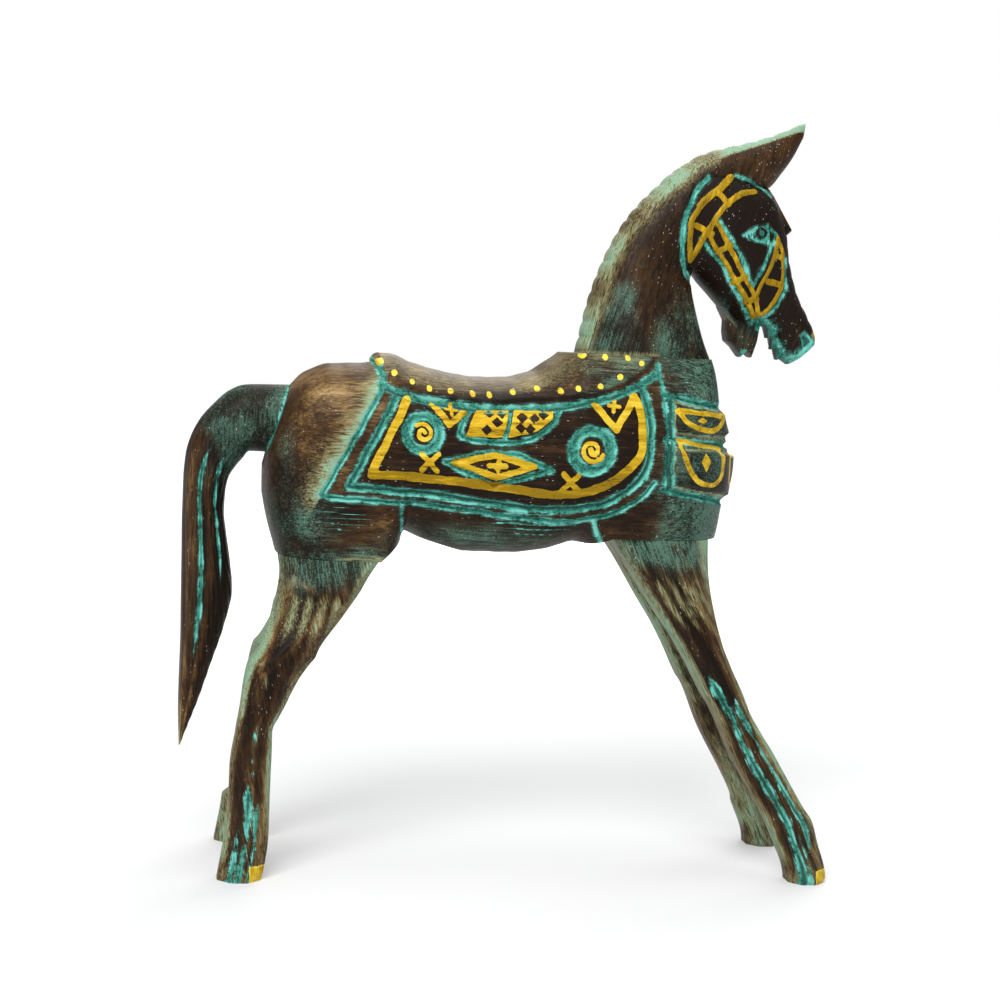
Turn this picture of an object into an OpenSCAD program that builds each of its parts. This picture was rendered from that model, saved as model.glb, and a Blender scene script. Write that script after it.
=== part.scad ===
// Carved and painted wooden horse, standing.
// +X points to the nose, +Y to the horse's left, +Z up. The soles stand on Z = 0.
// The torso is two glued slabs. The neck block, the tail and the four legs are glued to it
// on flat seats, and a peg crosses each of those joints.

/* [Torso] */
// Distance from the rearmost point of the rump to the frontmost point of the chest
torso_length = 245; // [206:1:294]
// Width of the torso at the barrel
torso_width = 92; // [78:1:110]
// Thickness of the upper slab, glue line to neck seat
upper_slab = 50; // [42:1:60]
// Thickness of the lower slab at the hips, hip seat to glue line
lower_slab = 60; // [50:1:72]
// How much higher the shoulder seat lies than the hip seat
shoulder_rise = 16; // [8:1:19]

/* [Legs] */
// Height of the hip seat above the ground, which is the length of a hind leg
hip_height = 162; // [135:1:195]
// Distance between the centres of a left and a right sole
stance = 76; // [64:1:91]
// Distance between the middles of a left and a right leg at their seats
leg_top_spacing = 50; // [42:1:56]
// Thickness of a leg at its seat, across the horse
leg_top_thick = 31; // [26:1:34]
// Thickness of a hoof, across the horse
hoof_thick = 22; // [18:1:26]

/* [Neck and head] */
// Height of the neck block above its seat, up to the tips of the ears
neck_height = 128; // [107:1:154]
// Width of the neck block at its seat
neck_width = 52; // [43:1:58]
// Width of the head across the cheeks
head_width = 42; // [35:1:50]

/* [Tail] */
// Reach of the tail behind its seat
tail_reach = 52; // [43:1:63]
// Width of the tail at its seat
tail_width = 32; // [27:1:38]

/* [Pegs] */
// Diameter of the pegs
peg_d = 8; // [6:0.5:9.6]
// Length of each leg peg and neck peg, half of it in each piece
peg_length = 34; // [28:1:38]
// Length of the tail peg
tail_peg_length = 26; // [22:1:30]
// Glue clearance around a peg, on the diameter
peg_clearance = 0.2; // [0.1:0.05:0.4]

/* [Hidden] */

$fn = 48;
wood_dark = "#3d2b20";
wood_brown = "#5a4230";
wood_olive = "#6b5a3e";
peg_wood = "#c9a878";

// Levels
glue_line = hip_height + lower_slab;
neck_seat = glue_line + upper_slab;
shoulder_seat = hip_height + shoulder_rise;

// The rump's rearmost point, set so that the whole horse is centred on X = 0 to half a millimetre
rump_x = -131;
half_w = torso_width / 2;

function torso_x(share) = rump_x + share * torso_length;
function torso_share(x) = (x - rump_x) / torso_length;

// Leg outlines: [height as a share of the leg, back edge, front edge], the edges in mm from the
// middle of the peg
rear_leg_x = torso_x(0.13);
rear_leg = [
    [0.00, -48, -26], [0.04, -47, -24.5], [0.13, -45, -23], [0.29, -43.5, -23], [0.34, -43.5, -23],
    [0.46, -41, -23], [0.53, -39.5, -18], [0.62, -38, -11], [0.675, -36, -5], [0.69, -34, -3],
    [0.72, -31, -1], [0.82, -25, 10], [0.90, -22.5, 18], [0.95, -22, 22], [1.00, -23, 27],
];
front_leg_x = torso_x(0.853);
front_leg = [
    [0.00, 73, 92], [0.015, 72.5, 93.8], [0.04, 71.5, 93], [0.11, 66, 89], [0.18, 60, 85],
    [0.22, 56, 80], [0.38, 39, 62], [0.51, 28, 47], [0.54, 24, 45], [0.64, 14, 36], [0.71, 6, 31],
    [0.80, -6, 27.5], [0.90, -18, 24.5], [0.97, -27, 23.5], [1.00, -31, 23],
];
// Where the hips end and the shoulders begin, just clear of the legs
seat_margin = 0.5;
hips_end = torso_share(rear_leg_x + rear_leg[len(rear_leg) - 1][2] + seat_margin);
shoulders_start = torso_share(front_leg_x + front_leg[len(front_leg) - 1][1] - seat_margin);
// Length over which the underside steps to or from a seat, as a share of the torso
seat_step = 0.006;

// Torso outlines. The first number is the share of the torso's length from the rump.
// Height of the back above the glue line, in shares of the upper slab
back_line = [
    [0.010, 0.06], [0.025, 0.30], [0.045, 0.48], [0.080, 0.66], [0.130, 0.76], [0.190, 0.78],
    [0.222, 0.80], [0.232, 0.86], [0.250, 0.86], [0.300, 0.78], [0.370, 0.70], [0.440, 0.66],
    [0.500, 0.67], [0.560, 0.74], [0.605, 0.88], [0.640, 1.02], [0.660, 1.16], [0.930, 1.16],
    [0.949, 1.02], [0.956, 0.84], [0.962, 0.60], [0.970, 0.45], [0.985, 0.26], [0.992, 0.06],
];
// Depth below the glue line, in shares of the lower slab: above 1 the seats cut it off flat
belly_line = [
    [0.000, 0.50], [0.012, 0.72], [0.030, 0.95], [0.050, 1.25], [0.090, 1.60], [0.140, 1.85],
    [hips_end, 1.85], [hips_end + seat_step, 0.98], [0.300, 0.78], [0.350, 0.88], [0.430, 0.94],
    [0.520, 0.94], [0.600, 0.90], [0.670, 0.82], [shoulders_start - seat_step, 0.70],
    [shoulders_start, 1.50], [0.900, 1.45],
    [0.950, 1.10], [0.975, 0.85], [0.990, 0.52], [1.000, 0.30],
];
// Half width, in shares of the widest
side_line = [
    [0.000, 0.22], [0.010, 0.46], [0.025, 0.62], [0.050, 0.76], [0.085, 0.87], [0.130, 0.94],
    [0.200, 0.97], [0.290, 0.94], [0.400, 0.97], [0.550, 1.00], [0.750, 1.00], [0.840, 0.95],
    [0.890, 0.87], [0.935, 0.72], [0.965, 0.56], [0.985, 0.40], [1.000, 0.24],
];
// Fullness of the rounded section: 2 is an ellipse, more is squarer
torso_fullness = 2.4;
ring_step = 12;
upper_stations = [for (s = back_line) s[0]];
lower_stations = [for (s = belly_line) s[0]];
// Tail seat: a plane across the rump, leaning back as it goes down
tail_lean = 16;
// How far the seat's plane is cut on below the tail
tail_seat_margin = 3;
tail_seat_top = [rump_x + 12, glue_line + 0.52 * upper_slab];
tail_seat_depth = 35;
tail_seat_low = tail_seat_top - tail_seat_depth * [tan(tail_lean), 1];
// Outer and inner edge of the tail: [reach behind the seat, height under its top] at each station,
// in shares of the tail's reach and of its drop
tail_drop = tail_seat_top[1] - 59;
tail_outer = [
    [0.42, 0.005], [0.58, 0.022], [0.73, 0.06], [0.85, 0.10], [0.94, 0.15], [0.985, 0.20], [1.00, 0.27],
    [1.00, 0.36], [0.99, 0.48], [0.98, 0.60], [0.97, 0.72], [0.97, 0.84], [0.96, 0.93], [0.945, 1.00],
];
tail_inner = [
    [0.36, 0.185], [0.43, 0.205], [0.50, 0.23], [0.56, 0.26], [0.585, 0.30], [0.59, 0.35], [0.56, 0.41],
    [0.51, 0.49], [0.48, 0.57], [0.55, 0.67], [0.66, 0.77], [0.77, 0.87], [0.86, 0.94], [0.93, 0.995],
];
// Half width at each station, in shares of the half width at the seat
tail_taper = [1.00, 1.00, 1.00, 1.00, 0.98, 0.96, 0.94, 0.92, 0.88, 0.80, 0.66, 0.48, 0.30, 0.12];

// Share of a leg section's corners that the chisel takes off
leg_chamfer = 0.3;
// The left legs are carved slimmer at the back, by this much at the seat: [front, hind]
left_trim = [6, 5];
// How fast that trim fades towards the sole: [front, hind]
left_trim_fade = [2, 0.3];

// Neck block: stations from the seat to the lips, [crest x, crest height, throat x, throat height,
// half width], in mm from the front corner of the seat and in shares of the neck's height. The half
// width is a share of the seat's half width up to the throat, and of the cheeks' half width after it
neck_front_x = torso_x(0.951);
neck_rings = [
    [-72, 0.00, 0, 0.00, 1.00], [-70, 0.08, -4, 0.07, 0.98], [-67, 0.20, -9, 0.19, 0.88],
    [-60, 0.375, -12, 0.28, 0.78], [-49, 0.55, -13, 0.33, 0.72], [-34, 0.69, -12.5, 0.345, 0.70],
    [-20, 0.78, -10.5, 0.34, 0.70],
];
head_rings = [
    [-4, 0.79, -7, 0.31, 0.92], [14, 0.75, -3, 0.28, 1.00], [27, 0.71, 2, 0.24, 1.00],
    [38, 0.53, 9, 0.185, 0.94], [40, 0.44, 13, 0.16, 0.86], [46, 0.29, 26, 0.155, 0.72],
    [52, 0.21, 32, 0.095, 0.62], [56, 0.155, 34, 0.06, 0.58], [58, 0.12, 38, 0.01, 0.54],
    [58, 0.095, 44, -0.005, 0.48],
];
// The ears, carved forward as one spike: [top x, top height, lower x, lower height, half width]
ear_rings = [
    [-24, 0.765, -8, 0.60, 0.60], [-11, 0.835, 0, 0.64, 0.64], [2, 0.872, 12, 0.68, 0.62],
    [15, 0.90, 27, 0.715, 0.56],
    [28, 0.935, 34, 0.78, 0.42], [38, 0.97, 40, 0.85, 0.26], [46, 1.00, 45, 0.93, 0.08],
];
// The forelock wedge and the bearded chin, as side outlines in the same measures
forelock = [[20, 0.70], [26, 0.72], [29, 0.69], [41, 0.545], [39, 0.53], [36, 0.51], [24, 0.58]];
forelock_width = 14;
chin = [
    [4, 0.23], [8, 0.175], [8, 0.12], [9, 0.08], [13, 0.055], [17, 0.016], [20, 0.04], [23, 0.016],
    [25.5, 0.08], [27, 0.165], [22, 0.24],
];
chin_width = 15;
head_ring_points = 24;

// Pegs: the middle of each
neck_peg_front = [neck_front_x - 20, 0, neck_seat];
neck_peg_rear = [neck_front_x - 52, 0, neck_seat];
leg_y = leg_top_spacing / 2;
front_peg = [front_leg_x, leg_y, shoulder_seat];
rear_peg = [rear_leg_x, leg_y, hip_height];
tail_peg_down = 15;
tail_peg = [
    tail_seat_top[0] - tail_peg_down * tan(tail_lean), 0, tail_seat_top[1] - tail_peg_down
];

// Closed skin over rings of equal size, with the first and the last ring as flat ends
module skin(rings) {
    n = len(rings[0]);
    last = len(rings) - 1;
    sides = [
        for (i = [0:last - 1], j = [0:n - 1])
            let (k = (j + 1) % n)
            each [[i * n + j, i * n + k, (i + 1) * n + j], [i * n + k, (i + 1) * n + k, (i + 1) * n + j]]
    ];
    ends = [[for (j = [n - 1:-1:0]) j], [for (j = [0:n - 1]) last * n + j]];
    polyhedron([for (ring = rings) each ring], concat(sides, ends));
}

// Power of a sine or cosine that keeps its sign
function bulge(value, fullness) = sign(value) * pow(abs(value), 2 / fullness);

function torso_half(share, angle) = half_w * lookup(share, side_line) * bulge(cos(angle), torso_fullness);

// Upper half of the torso's section, flattened where the neck sits
function upper_ring(share) = [
    for (a = [0:ring_step:180])
        let (rise = upper_slab * lookup(share, back_line) * bulge(sin(a), torso_fullness))
        [torso_x(share), torso_half(share, a), min(neck_seat, glue_line + rise)]
];

function seat_under(share) = share <= hips_end ? hip_height : share >= shoulders_start ? shoulder_seat : 0;

// Lower half of the torso's section, flattened where the legs sit
function lower_ring(share) = [
    for (a = [180:ring_step:360])
        let (drop = lower_slab * lookup(share, belly_line) * bulge(-sin(a), torso_fullness))
        [torso_x(share), torso_half(share, a), max(seat_under(share), glue_line - drop)]
];

module peg(length) {
    cylinder(d = peg_d, h = length, center = true);
}

module bore(length) {
    cylinder(d = peg_d + peg_clearance, h = length, center = true);
}

// Everything behind the tail's seat
module behind_tail_seat() {
    cut = 60;
    translate([tail_seat_low[0], 0, tail_seat_low[1]])
        rotate([0, tail_lean, 0])
            translate([-cut, -cut / 2, -tail_seat_margin]) cube([cut, cut, cut]);
}

// Puts a child's +Z along the tail peg
module at_tail_peg() {
    translate(tail_peg) rotate([0, 90 + tail_lean, 0]) children();
}

module torso_upper() {
    color(wood_olive) difference() {
        skin([for (s = upper_stations) upper_ring(s)]);
        behind_tail_seat();
        at_tail_peg() bore(tail_peg_length);
        translate(neck_peg_front) bore(peg_length);
        translate(neck_peg_rear) bore(peg_length);
    }
}

module torso_lower() {
    color(wood_brown) difference() {
        skin([for (s = lower_stations) lower_ring(s)]);
        behind_tail_seat();
        for (side = [-1, 1], place = [front_peg, rear_peg])
            translate([place[0], side * place[1], place[2]]) bore(peg_length);
    }
}

// Rounded section across the horse, standing on the side-view line from one edge to the other
function ring_between(edge_a, edge_b, half, fullness) = [
    for (i = [0:head_ring_points - 1])
        let (a = 360 * i / head_ring_points,
             along = (1 + bulge(cos(a), fullness)) / 2,
             spot = edge_b + (edge_a - edge_b) * along)
        [spot[0], half * bulge(sin(a), fullness), spot[1]]
];

function neck_point(x, share) = [neck_front_x + x, neck_seat + share * neck_height];

function neck_ring(r, width, fullness) =
    ring_between(neck_point(r[0], r[1]), neck_point(r[2], r[3]), r[4] * width / 2, fullness);

// A side outline in the neck's measures, as thick as given and centred on the horse
module neck_plate(outline, thick) {
    rotate([90, 0, 0]) linear_extrude(thick, center = true)
        polygon([for (p = outline) neck_point(p[0], p[1])]);
}

module neck_head() {
    color(wood_dark) difference() {
        union() {
            skin([
                for (r = neck_rings) neck_ring(r, neck_width, 2.4),
                for (r = head_rings) neck_ring(r, head_width, 2.4),
            ]);
            skin([for (r = ear_rings) neck_ring(r, head_width, 2)]);
            neck_plate(forelock, forelock_width);
            neck_plate(chin, chin_width);
        }
        translate(neck_peg_front) bore(peg_length);
        translate(neck_peg_rear) bore(peg_length);
    }
}

function tail_point(share) = tail_seat_top - [share[0] * tail_reach, share[1] * tail_drop];

module tail() {
    half = tail_width / 2;
    color(wood_dark) difference() {
        skin([
            ring_between(tail_seat_top, tail_seat_low, half, 2.2),
            for (i = [0:len(tail_outer) - 1])
                ring_between(tail_point(tail_outer[i]), tail_point(tail_inner[i]), half * tail_taper[i], 2.2),
        ]);
        at_tail_peg() bore(tail_peg_length);
    }
}

// Eight-sided leg section: a rectangle with its corners taken off
function leg_ring(z, back, front, y_mid, y_half) =
    let (cut = leg_chamfer * min(front - back, 2 * y_half))
    [
        for (c = [[0, -1], [1, -1], [1, 1], [0, 1]], first = [1, 0])
            let (flat_x = (c[0] == 0) == (c[1] == -1) ? first : 1 - first,
                 x = c[0] == 0 ? back : front,
                 inward = c[0] == 0 ? 1 : -1)
            [x + inward * cut * (1 - flat_x), y_mid + c[1] * (y_half - cut * flat_x), z]
    ];

// One leg on the +Y side, from its sole to its seat
module leg(outline, x_mid, height, trim, fade) {
    skin([
        for (r = outline)
            leg_ring(
                r[0] * height, x_mid + r[1] + trim * pow(r[0], fade), x_mid + r[2],
                (stance + r[0] * (leg_top_spacing - stance)) / 2,
                (hoof_thick + r[0] * (leg_top_thick - hoof_thick)) / 2
            )
    ]);
}

module front_leg(trim) {
    difference() {
        leg(front_leg, front_leg_x, shoulder_seat, trim, left_trim_fade[0]);
        translate(front_peg) bore(peg_length);
    }
}

module rear_leg(trim) {
    difference() {
        leg(rear_leg, rear_leg_x, hip_height, trim, left_trim_fade[1]);
        translate(rear_peg) bore(peg_length);
    }
}

module leg_front_left() { color(wood_brown) front_leg(left_trim[0]); }
module leg_front_right() { color(wood_brown) mirror([0, 1, 0]) front_leg(0); }
module leg_rear_left() { color(wood_olive) rear_leg(left_trim[1]); }
module leg_rear_right() { color(wood_olive) mirror([0, 1, 0]) rear_leg(0); }

module peg_front_left() { color(peg_wood) translate(front_peg) peg(peg_length); }
module peg_front_right() { color(peg_wood) mirror([0, 1, 0]) translate(front_peg) peg(peg_length); }
module peg_rear_left() { color(peg_wood) translate(rear_peg) peg(peg_length); }
module peg_rear_right() { color(peg_wood) mirror([0, 1, 0]) translate(rear_peg) peg(peg_length); }
module peg_neck_front() { color(peg_wood) translate(neck_peg_front) peg(peg_length); }
module peg_neck_rear() { color(peg_wood) translate(neck_peg_rear) peg(peg_length); }
module peg_tail() { color(peg_wood) at_tail_peg() peg(tail_peg_length); }

torso_upper();
torso_lower();
neck_head();
tail();
leg_front_right();
leg_front_left();
leg_rear_right();
leg_rear_left();
peg_front_right();
peg_front_left();
peg_rear_right();
peg_rear_left();
peg_neck_front();
peg_neck_rear();
peg_tail();
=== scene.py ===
"""Carved and painted wooden horse: the carving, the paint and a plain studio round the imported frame.

+X points to the nose, +Y to the horse's left, +Z up. Working sizes are millimetres; meshes are in metres.
"""
import math
from functools import reduce

import bpy
import numpy as np
from bpy.props import FloatProperty, FloatVectorProperty, PointerProperty
from bpy.types import Operator, Panel, PropertyGroup
from mathutils import Matrix, Vector


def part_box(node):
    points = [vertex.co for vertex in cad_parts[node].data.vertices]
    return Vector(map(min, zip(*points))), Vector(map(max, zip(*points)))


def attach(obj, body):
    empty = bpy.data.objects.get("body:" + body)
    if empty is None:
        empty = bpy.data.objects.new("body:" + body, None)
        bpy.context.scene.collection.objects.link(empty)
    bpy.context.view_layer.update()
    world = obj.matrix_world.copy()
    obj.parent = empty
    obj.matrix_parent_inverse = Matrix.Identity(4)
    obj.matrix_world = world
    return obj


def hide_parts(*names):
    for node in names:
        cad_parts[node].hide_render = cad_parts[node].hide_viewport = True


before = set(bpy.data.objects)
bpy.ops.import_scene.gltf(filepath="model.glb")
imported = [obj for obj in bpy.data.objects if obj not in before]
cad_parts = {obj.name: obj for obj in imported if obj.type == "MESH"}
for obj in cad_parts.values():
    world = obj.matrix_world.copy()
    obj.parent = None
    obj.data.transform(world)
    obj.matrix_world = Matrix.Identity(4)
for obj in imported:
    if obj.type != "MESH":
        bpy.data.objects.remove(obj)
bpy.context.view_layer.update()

bl_info = {
    "name": "Carved wooden horse",
    "version": (1, 0, 0),
    "blender": (4, 5, 0),
    "location": "3D View > Sidebar > Horse",
    "description": "Carves and paints a standing wooden horse round its packed frame",
    "category": "Object",
}

MM = 0.001


def span(node, axis):
    """Lowest and highest place of a node along an axis, in mm."""
    low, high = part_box(node)
    return low[axis] / MM, high[axis] / MM


# Driving sizes, from the frame
RUMP_X, CHEST_X = span("torso_lower", 0)
TORSO_LENGTH = CHEST_X - RUMP_X
TORSO_HALF = span("torso_lower", 1)[1]
GLUE_LINE, NECK_SEAT = span("torso_upper", 2)
HIP_SEAT = span("leg_rear_right", 2)[1]
SHOULDER_SEAT = span("leg_front_right", 2)[1]
UPPER_SLAB = NECK_SEAT - GLUE_LINE
LOWER_SLAB = GLUE_LINE - HIP_SEAT
NECK_HEIGHT = span("neck_head", 2)[1] - NECK_SEAT
NECK_HALF = span("neck_head", 1)[1]
HEAD_HALF = 21
TAIL_HALF = span("tail", 1)[1]
TAIL_LOW = span("tail", 2)[0]
TAIL_BACK, TAIL_SEAT_X = span("tail", 0)
TAIL_REACH = TAIL_SEAT_X - TAIL_BACK
TAIL_SEAT_TOP = np.array([TAIL_SEAT_X, span("tail", 2)[1]])
TAIL_LEAN = math.radians(16)
TAIL_SEAT_DEPTH = 35
TAIL_SEAT_LOW = TAIL_SEAT_TOP - TAIL_SEAT_DEPTH * np.array([math.tan(TAIL_LEAN), 1])
TAIL_SEAT_MARGIN = 3
STANCE = 76
HOOF_THICK = 22
LEG_TOP_SPACING = 50
LEG_TOP_THICK = 31
LEG_CHAMFER = 0.3
REAR_LEG_X = RUMP_X + 0.13 * TORSO_LENGTH
FRONT_LEG_X = RUMP_X + 0.853 * TORSO_LENGTH
NECK_FRONT_X = RUMP_X + 0.951 * TORSO_LENGTH
SEAT_MARGIN = 0.5

# Leg outlines: share of the leg's height, back edge, front edge
REAR_LEG = [
    (0, -48, -26), (0.04, -47, -24.5), (0.13, -45, -23), (0.29, -43.5, -23), (0.34, -43.5, -23),
    (0.46, -41, -23), (0.53, -39.5, -18), (0.62, -38, -11), (0.675, -36, -5), (0.69, -34, -3),
    (0.72, -31, -1), (0.82, -25, 10), (0.90, -22.5, 18), (0.95, -22, 22), (1, -23, 27),
]
FRONT_LEG = [
    (0, 73, 92), (0.015, 72.5, 93.8), (0.04, 71.5, 93), (0.11, 66, 89), (0.18, 60, 85),
    (0.22, 56, 80), (0.38, 39, 62), (0.51, 28, 47), (0.54, 24, 45), (0.64, 14, 36), (0.71, 6, 31),
    (0.80, -6, 27.5), (0.90, -18, 24.5), (0.97, -27, 23.5), (1, -31, 23),
]
# Flutes of a leg: place across it, half width in mm, and the shares of the height they run between
FRONT_FLUTES = [(0.33, 3.5, 0.0, 0.56), (0.72, 2.8, 0.06, 0.50), (0.52, 2.0, 0.0, 0.12)]
REAR_FLUTES = [(0.24, 2.0, 0.0, 0.14), (0.44, 2.6, 0.0, 0.26), (0.66, 2.2, 0.0, 0.20),
               (0.52, 1.6, 0.28, 0.46)]
# How much slimmer the left legs are at the back: share of the height, mm
FRONT_TRIM = [(0, 0), (0.13, 0.1), (0.16, 1.4), (0.5, 2.2), (1, 6)]
REAR_TRIM = [(0, 0), (0.15, 0.1), (0.18, 4.4), (0.6, 4.6), (1, 5)]
# Leg pairs: outline, x of the seat's middle, seat level, trim, length and height of the toe, flutes
LEG_PAIRS = {
    "front": (FRONT_LEG, FRONT_LEG_X, SHOULDER_SEAT, FRONT_TRIM, (4.2, 7.5), FRONT_FLUTES),
    "rear": (REAR_LEG, REAR_LEG_X, HIP_SEAT, REAR_TRIM, (4.6, 8), REAR_FLUTES),
}
LEG_GRAIN_LEAN = {"front": 24.7, "rear": 12.9}
HIPS_END = (REAR_LEG_X + REAR_LEG[-1][2] + SEAT_MARGIN - RUMP_X) / TORSO_LENGTH
SHOULDERS_START = (FRONT_LEG_X + FRONT_LEG[-1][1] - SEAT_MARGIN - RUMP_X) / TORSO_LENGTH

# Torso outlines against the share of the torso's length from the rump
BACK_LINE = [
    (0.010, 0.06), (0.025, 0.30), (0.045, 0.48), (0.080, 0.66), (0.130, 0.76), (0.190, 0.78),
    (0.222, 0.80), (0.232, 0.86), (0.250, 0.86), (0.300, 0.78), (0.370, 0.70), (0.440, 0.66),
    (0.500, 0.67), (0.560, 0.74), (0.605, 0.88), (0.640, 1.02), (0.660, 1.16), (0.930, 1.16),
    (0.949, 1.02), (0.956, 0.84), (0.962, 0.60), (0.970, 0.45), (0.985, 0.26), (0.992, 0.06),
]
BELLY_LINE = [
    (0, 0.50), (0.012, 0.72), (0.030, 0.95), (0.050, 1.25), (0.090, 1.60), (0.140, 1.85),
    (HIPS_END, 1.85), (0.300, 0.78), (0.350, 0.88), (0.430, 0.94), (0.520, 0.94), (0.600, 0.90),
    (0.670, 0.82), (SHOULDERS_START, 1.50), (0.900, 1.45), (0.950, 1.10), (0.975, 0.85), (0.990, 0.52),
    (1, 0.30),
]
# Lowest level that the chisel leaves at each share: the leg seats, and slopes from them to the belly
SEAT_LEVELS = [
    (0, HIP_SEAT), (HIPS_END, HIP_SEAT), (0.300, GLUE_LINE - 0.78 * LOWER_SLAB),
    (0.485, GLUE_LINE - LOWER_SLAB), (0.670, GLUE_LINE - 0.82 * LOWER_SLAB),
    (SHOULDERS_START, SHOULDER_SEAT), (1, SHOULDER_SEAT),
]
SIDE_LINE = [
    (0, 0.22), (0.010, 0.46), (0.025, 0.62), (0.050, 0.76), (0.085, 0.87), (0.130, 0.94),
    (0.200, 0.97), (0.290, 0.94), (0.400, 0.97), (0.550, 1), (0.750, 1), (0.840, 0.95),
    (0.890, 0.87), (0.935, 0.72), (0.965, 0.56), (0.985, 0.40), (1, 0.24),
]
FULLNESS = 2.4
# Share of each side of the lower slab's section that stays above the level of a leg's seat
SIDE_SHARE = 0.7

# Tail edges: share of the reach, share of the drop; and the taper of its half width
TAIL_OUTER = [
    (0.42, 0.005), (0.58, 0.022), (0.73, 0.06), (0.85, 0.10), (0.94, 0.15), (0.985, 0.20), (1, 0.27),
    (1, 0.36), (0.99, 0.48), (0.98, 0.60), (0.97, 0.72), (0.97, 0.84), (0.96, 0.93), (0.945, 1),
]
TAIL_INNER = [
    (0.36, 0.185), (0.43, 0.205), (0.50, 0.23), (0.56, 0.26), (0.585, 0.30), (0.59, 0.35), (0.56, 0.41),
    (0.51, 0.49), (0.48, 0.57), (0.55, 0.67), (0.66, 0.77), (0.77, 0.87), (0.86, 0.94), (0.93, 0.995),
]
TAIL_TAPER = [1, 1, 1, 1, 0.98, 0.96, 0.94, 0.92, 0.88, 0.80, 0.66, 0.48, 0.30, 0.12]
TAIL_FULLNESS = 2.2

# Neck block: crest x, crest share, throat x, throat share, half width as a share
NECK_RINGS = [
    (-72, 0, 0, 0, 1), (-70, 0.08, -4, 0.07, 0.98), (-67, 0.20, -9, 0.19, 0.88),
    (-60, 0.375, -12, 0.28, 0.78), (-49, 0.55, -13, 0.33, 0.72), (-34, 0.69, -12.5, 0.345, 0.70),
    (-20, 0.78, -10.5, 0.34, 0.70),
]
HEAD_RINGS = [
    (-4, 0.79, -7, 0.31, 0.92), (14, 0.75, -3, 0.28, 1), (27, 0.71, 2, 0.24, 1),
    (38, 0.53, 9, 0.185, 0.94), (40, 0.44, 13, 0.16, 0.86), (46, 0.29, 26, 0.155, 0.72),
    (52, 0.21, 32, 0.095, 0.62), (56, 0.155, 34, 0.06, 0.58), (58, 0.12, 38, 0.01, 0.54),
    (58, 0.095, 44, -0.005, 0.48),
]
EAR_RINGS = [
    (-24, 0.765, -8, 0.60, 0.60), (-11, 0.835, 0, 0.64, 0.64), (2, 0.872, 12, 0.68, 0.62),
    (15, 0.90, 27, 0.715, 0.56), (28, 0.935, 34, 0.78, 0.42), (38, 0.97, 40, 0.85, 0.26),
    (46, 1, 45, 0.93, 0.08),
]
FORELOCK = [(20, 0.70), (26, 0.72), (29, 0.69), (41, 0.545), (39, 0.53), (36, 0.51), (24, 0.58)]
FORELOCK_HALF = 7
CHIN = [
    (4, 0.23), (8, 0.175), (8, 0.12), (9, 0.08), (13, 0.055), (17, 0.016), (20, 0.04), (23, 0.016),
    (25.5, 0.08), (27, 0.165), (22, 0.24),
]
CHIN_HALF = 7.5

# Carving seen from the side: x along the horse, z above the ground
SADDLE_EDGE = [
    (-77, 262), (-73, 254), (-64, 249), (-51, 246), (-38, 244.5), (-20, 243.5), (-5, 245),
    (15, 247.5), (35, 251), (49, 256.5), (60, 263.5), (65, 268.5),
]
SADDLE_AREA = SADDLE_EDGE + [(66, 300), (-77, 300)]
SADDLE_GROOVE = [(-75, 251), (-66, 247), (-53, 244), (-30, 241.5), (-10, 241.5), (10, 243), (30, 247),
                 (42, 250), (57, 257), (66, 263)]
SADDLE_DOTS = [
    (-75, 261), (-69, 256), (-60, 252), (-51, 249), (-40, 248), (-29, 247), (-20, 247), (-8, 249),
    (5, 251), (16, 251), (25, 253), (35, 255), (46, 260), (58, 267), (51, 269.4), (39, 269), (29, 269.8),
]
BLANKET_RIM = [(-75, 249), (-103, 195), (-94, 193.5), (-64, 193), (-30, 190), (-1, 186.5), (23, 185),
               (37, 188), (49, 193), (60, 200), (66, 208)]
BLANKET_GROOVE = [(-67, 247), (-90, 200), (-74, 199), (-44, 197), (-13, 193), (18, 191), (39, 195),
                  (53, 204), (62, 214), (63, 235), (60, 250), (57, 256)]
BORDER_REAR = [(-62, 245), (-79, 207.5)]
BORDER_LOW = [(-79, 206.5), (-55, 206), (-17, 203), (17, 199), (36, 202.5), (51, 213), (58, 222),
              (58.5, 231), (56, 247), (53, 251)]
BORDER_CROWN = [(53, 251), (44, 234), (33, 246)]
ARROW_REAR = [(-50, 243), (-41, 233), (-33, 240)]
CROSSES = [(-50, 213.5), (22, 206.5)]
SPARKS = [(-40, 240.5), (42.5, 246)]
ROUNDELS = [((-54, 228), 11, 5.8), ((32, 223), 13, 7)]
EYE_OUTLINE = [(-42, 214), (-22, 220), (-4, 219), (12, 212), (-17, 203)]
EYE_RHOMB = [(-38, 214), (-18, 218.5), (3, 214), (-16, 207.5)]
RHOMB_BAR = [(-20, 213.2), (-12, 213.2)]
RHOMB_POST = [(-15.5, 211.5), (-15.5, 215.5)]
CANTLE = [(-77.5, 266), (-77, 261), (-73.5, 253.5)]
LEAF = [(-27, 242), (12, 243), (11, 238), (3, 231), (-11, 228), (-33, 227)]
LEAF_GROOVE = [(-30, 242), (-39, 226), (-15, 225), (-1, 226), (11, 234), (15, 243)]
LEAF_SPLIT = [(-9, 243), (-13, 226)]
LEAF_DIAMONDS = [(-22, 231), (-17, 235), (-21, 239.5), (-14.5, 239.5), (-5, 233), (0, 232.5), (-4, 238),
                 (2, 238), (6.5, 240)]
GIRTH = [[(57, 257), (60, 240), (62, 222), (61, 210)], [(67, 268), (69, 251), (72, 231), (71, 208)]]
COLLAR_BLOCKS = [[(75, 248.5), (98, 245), (112, 243), (130, 242), (130, 230), (114, 232), (76, 234)],
                 [(76, 225.7), (112, 223), (130, 222), (130, 198), (116, 200), (76, 207)]]
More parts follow.
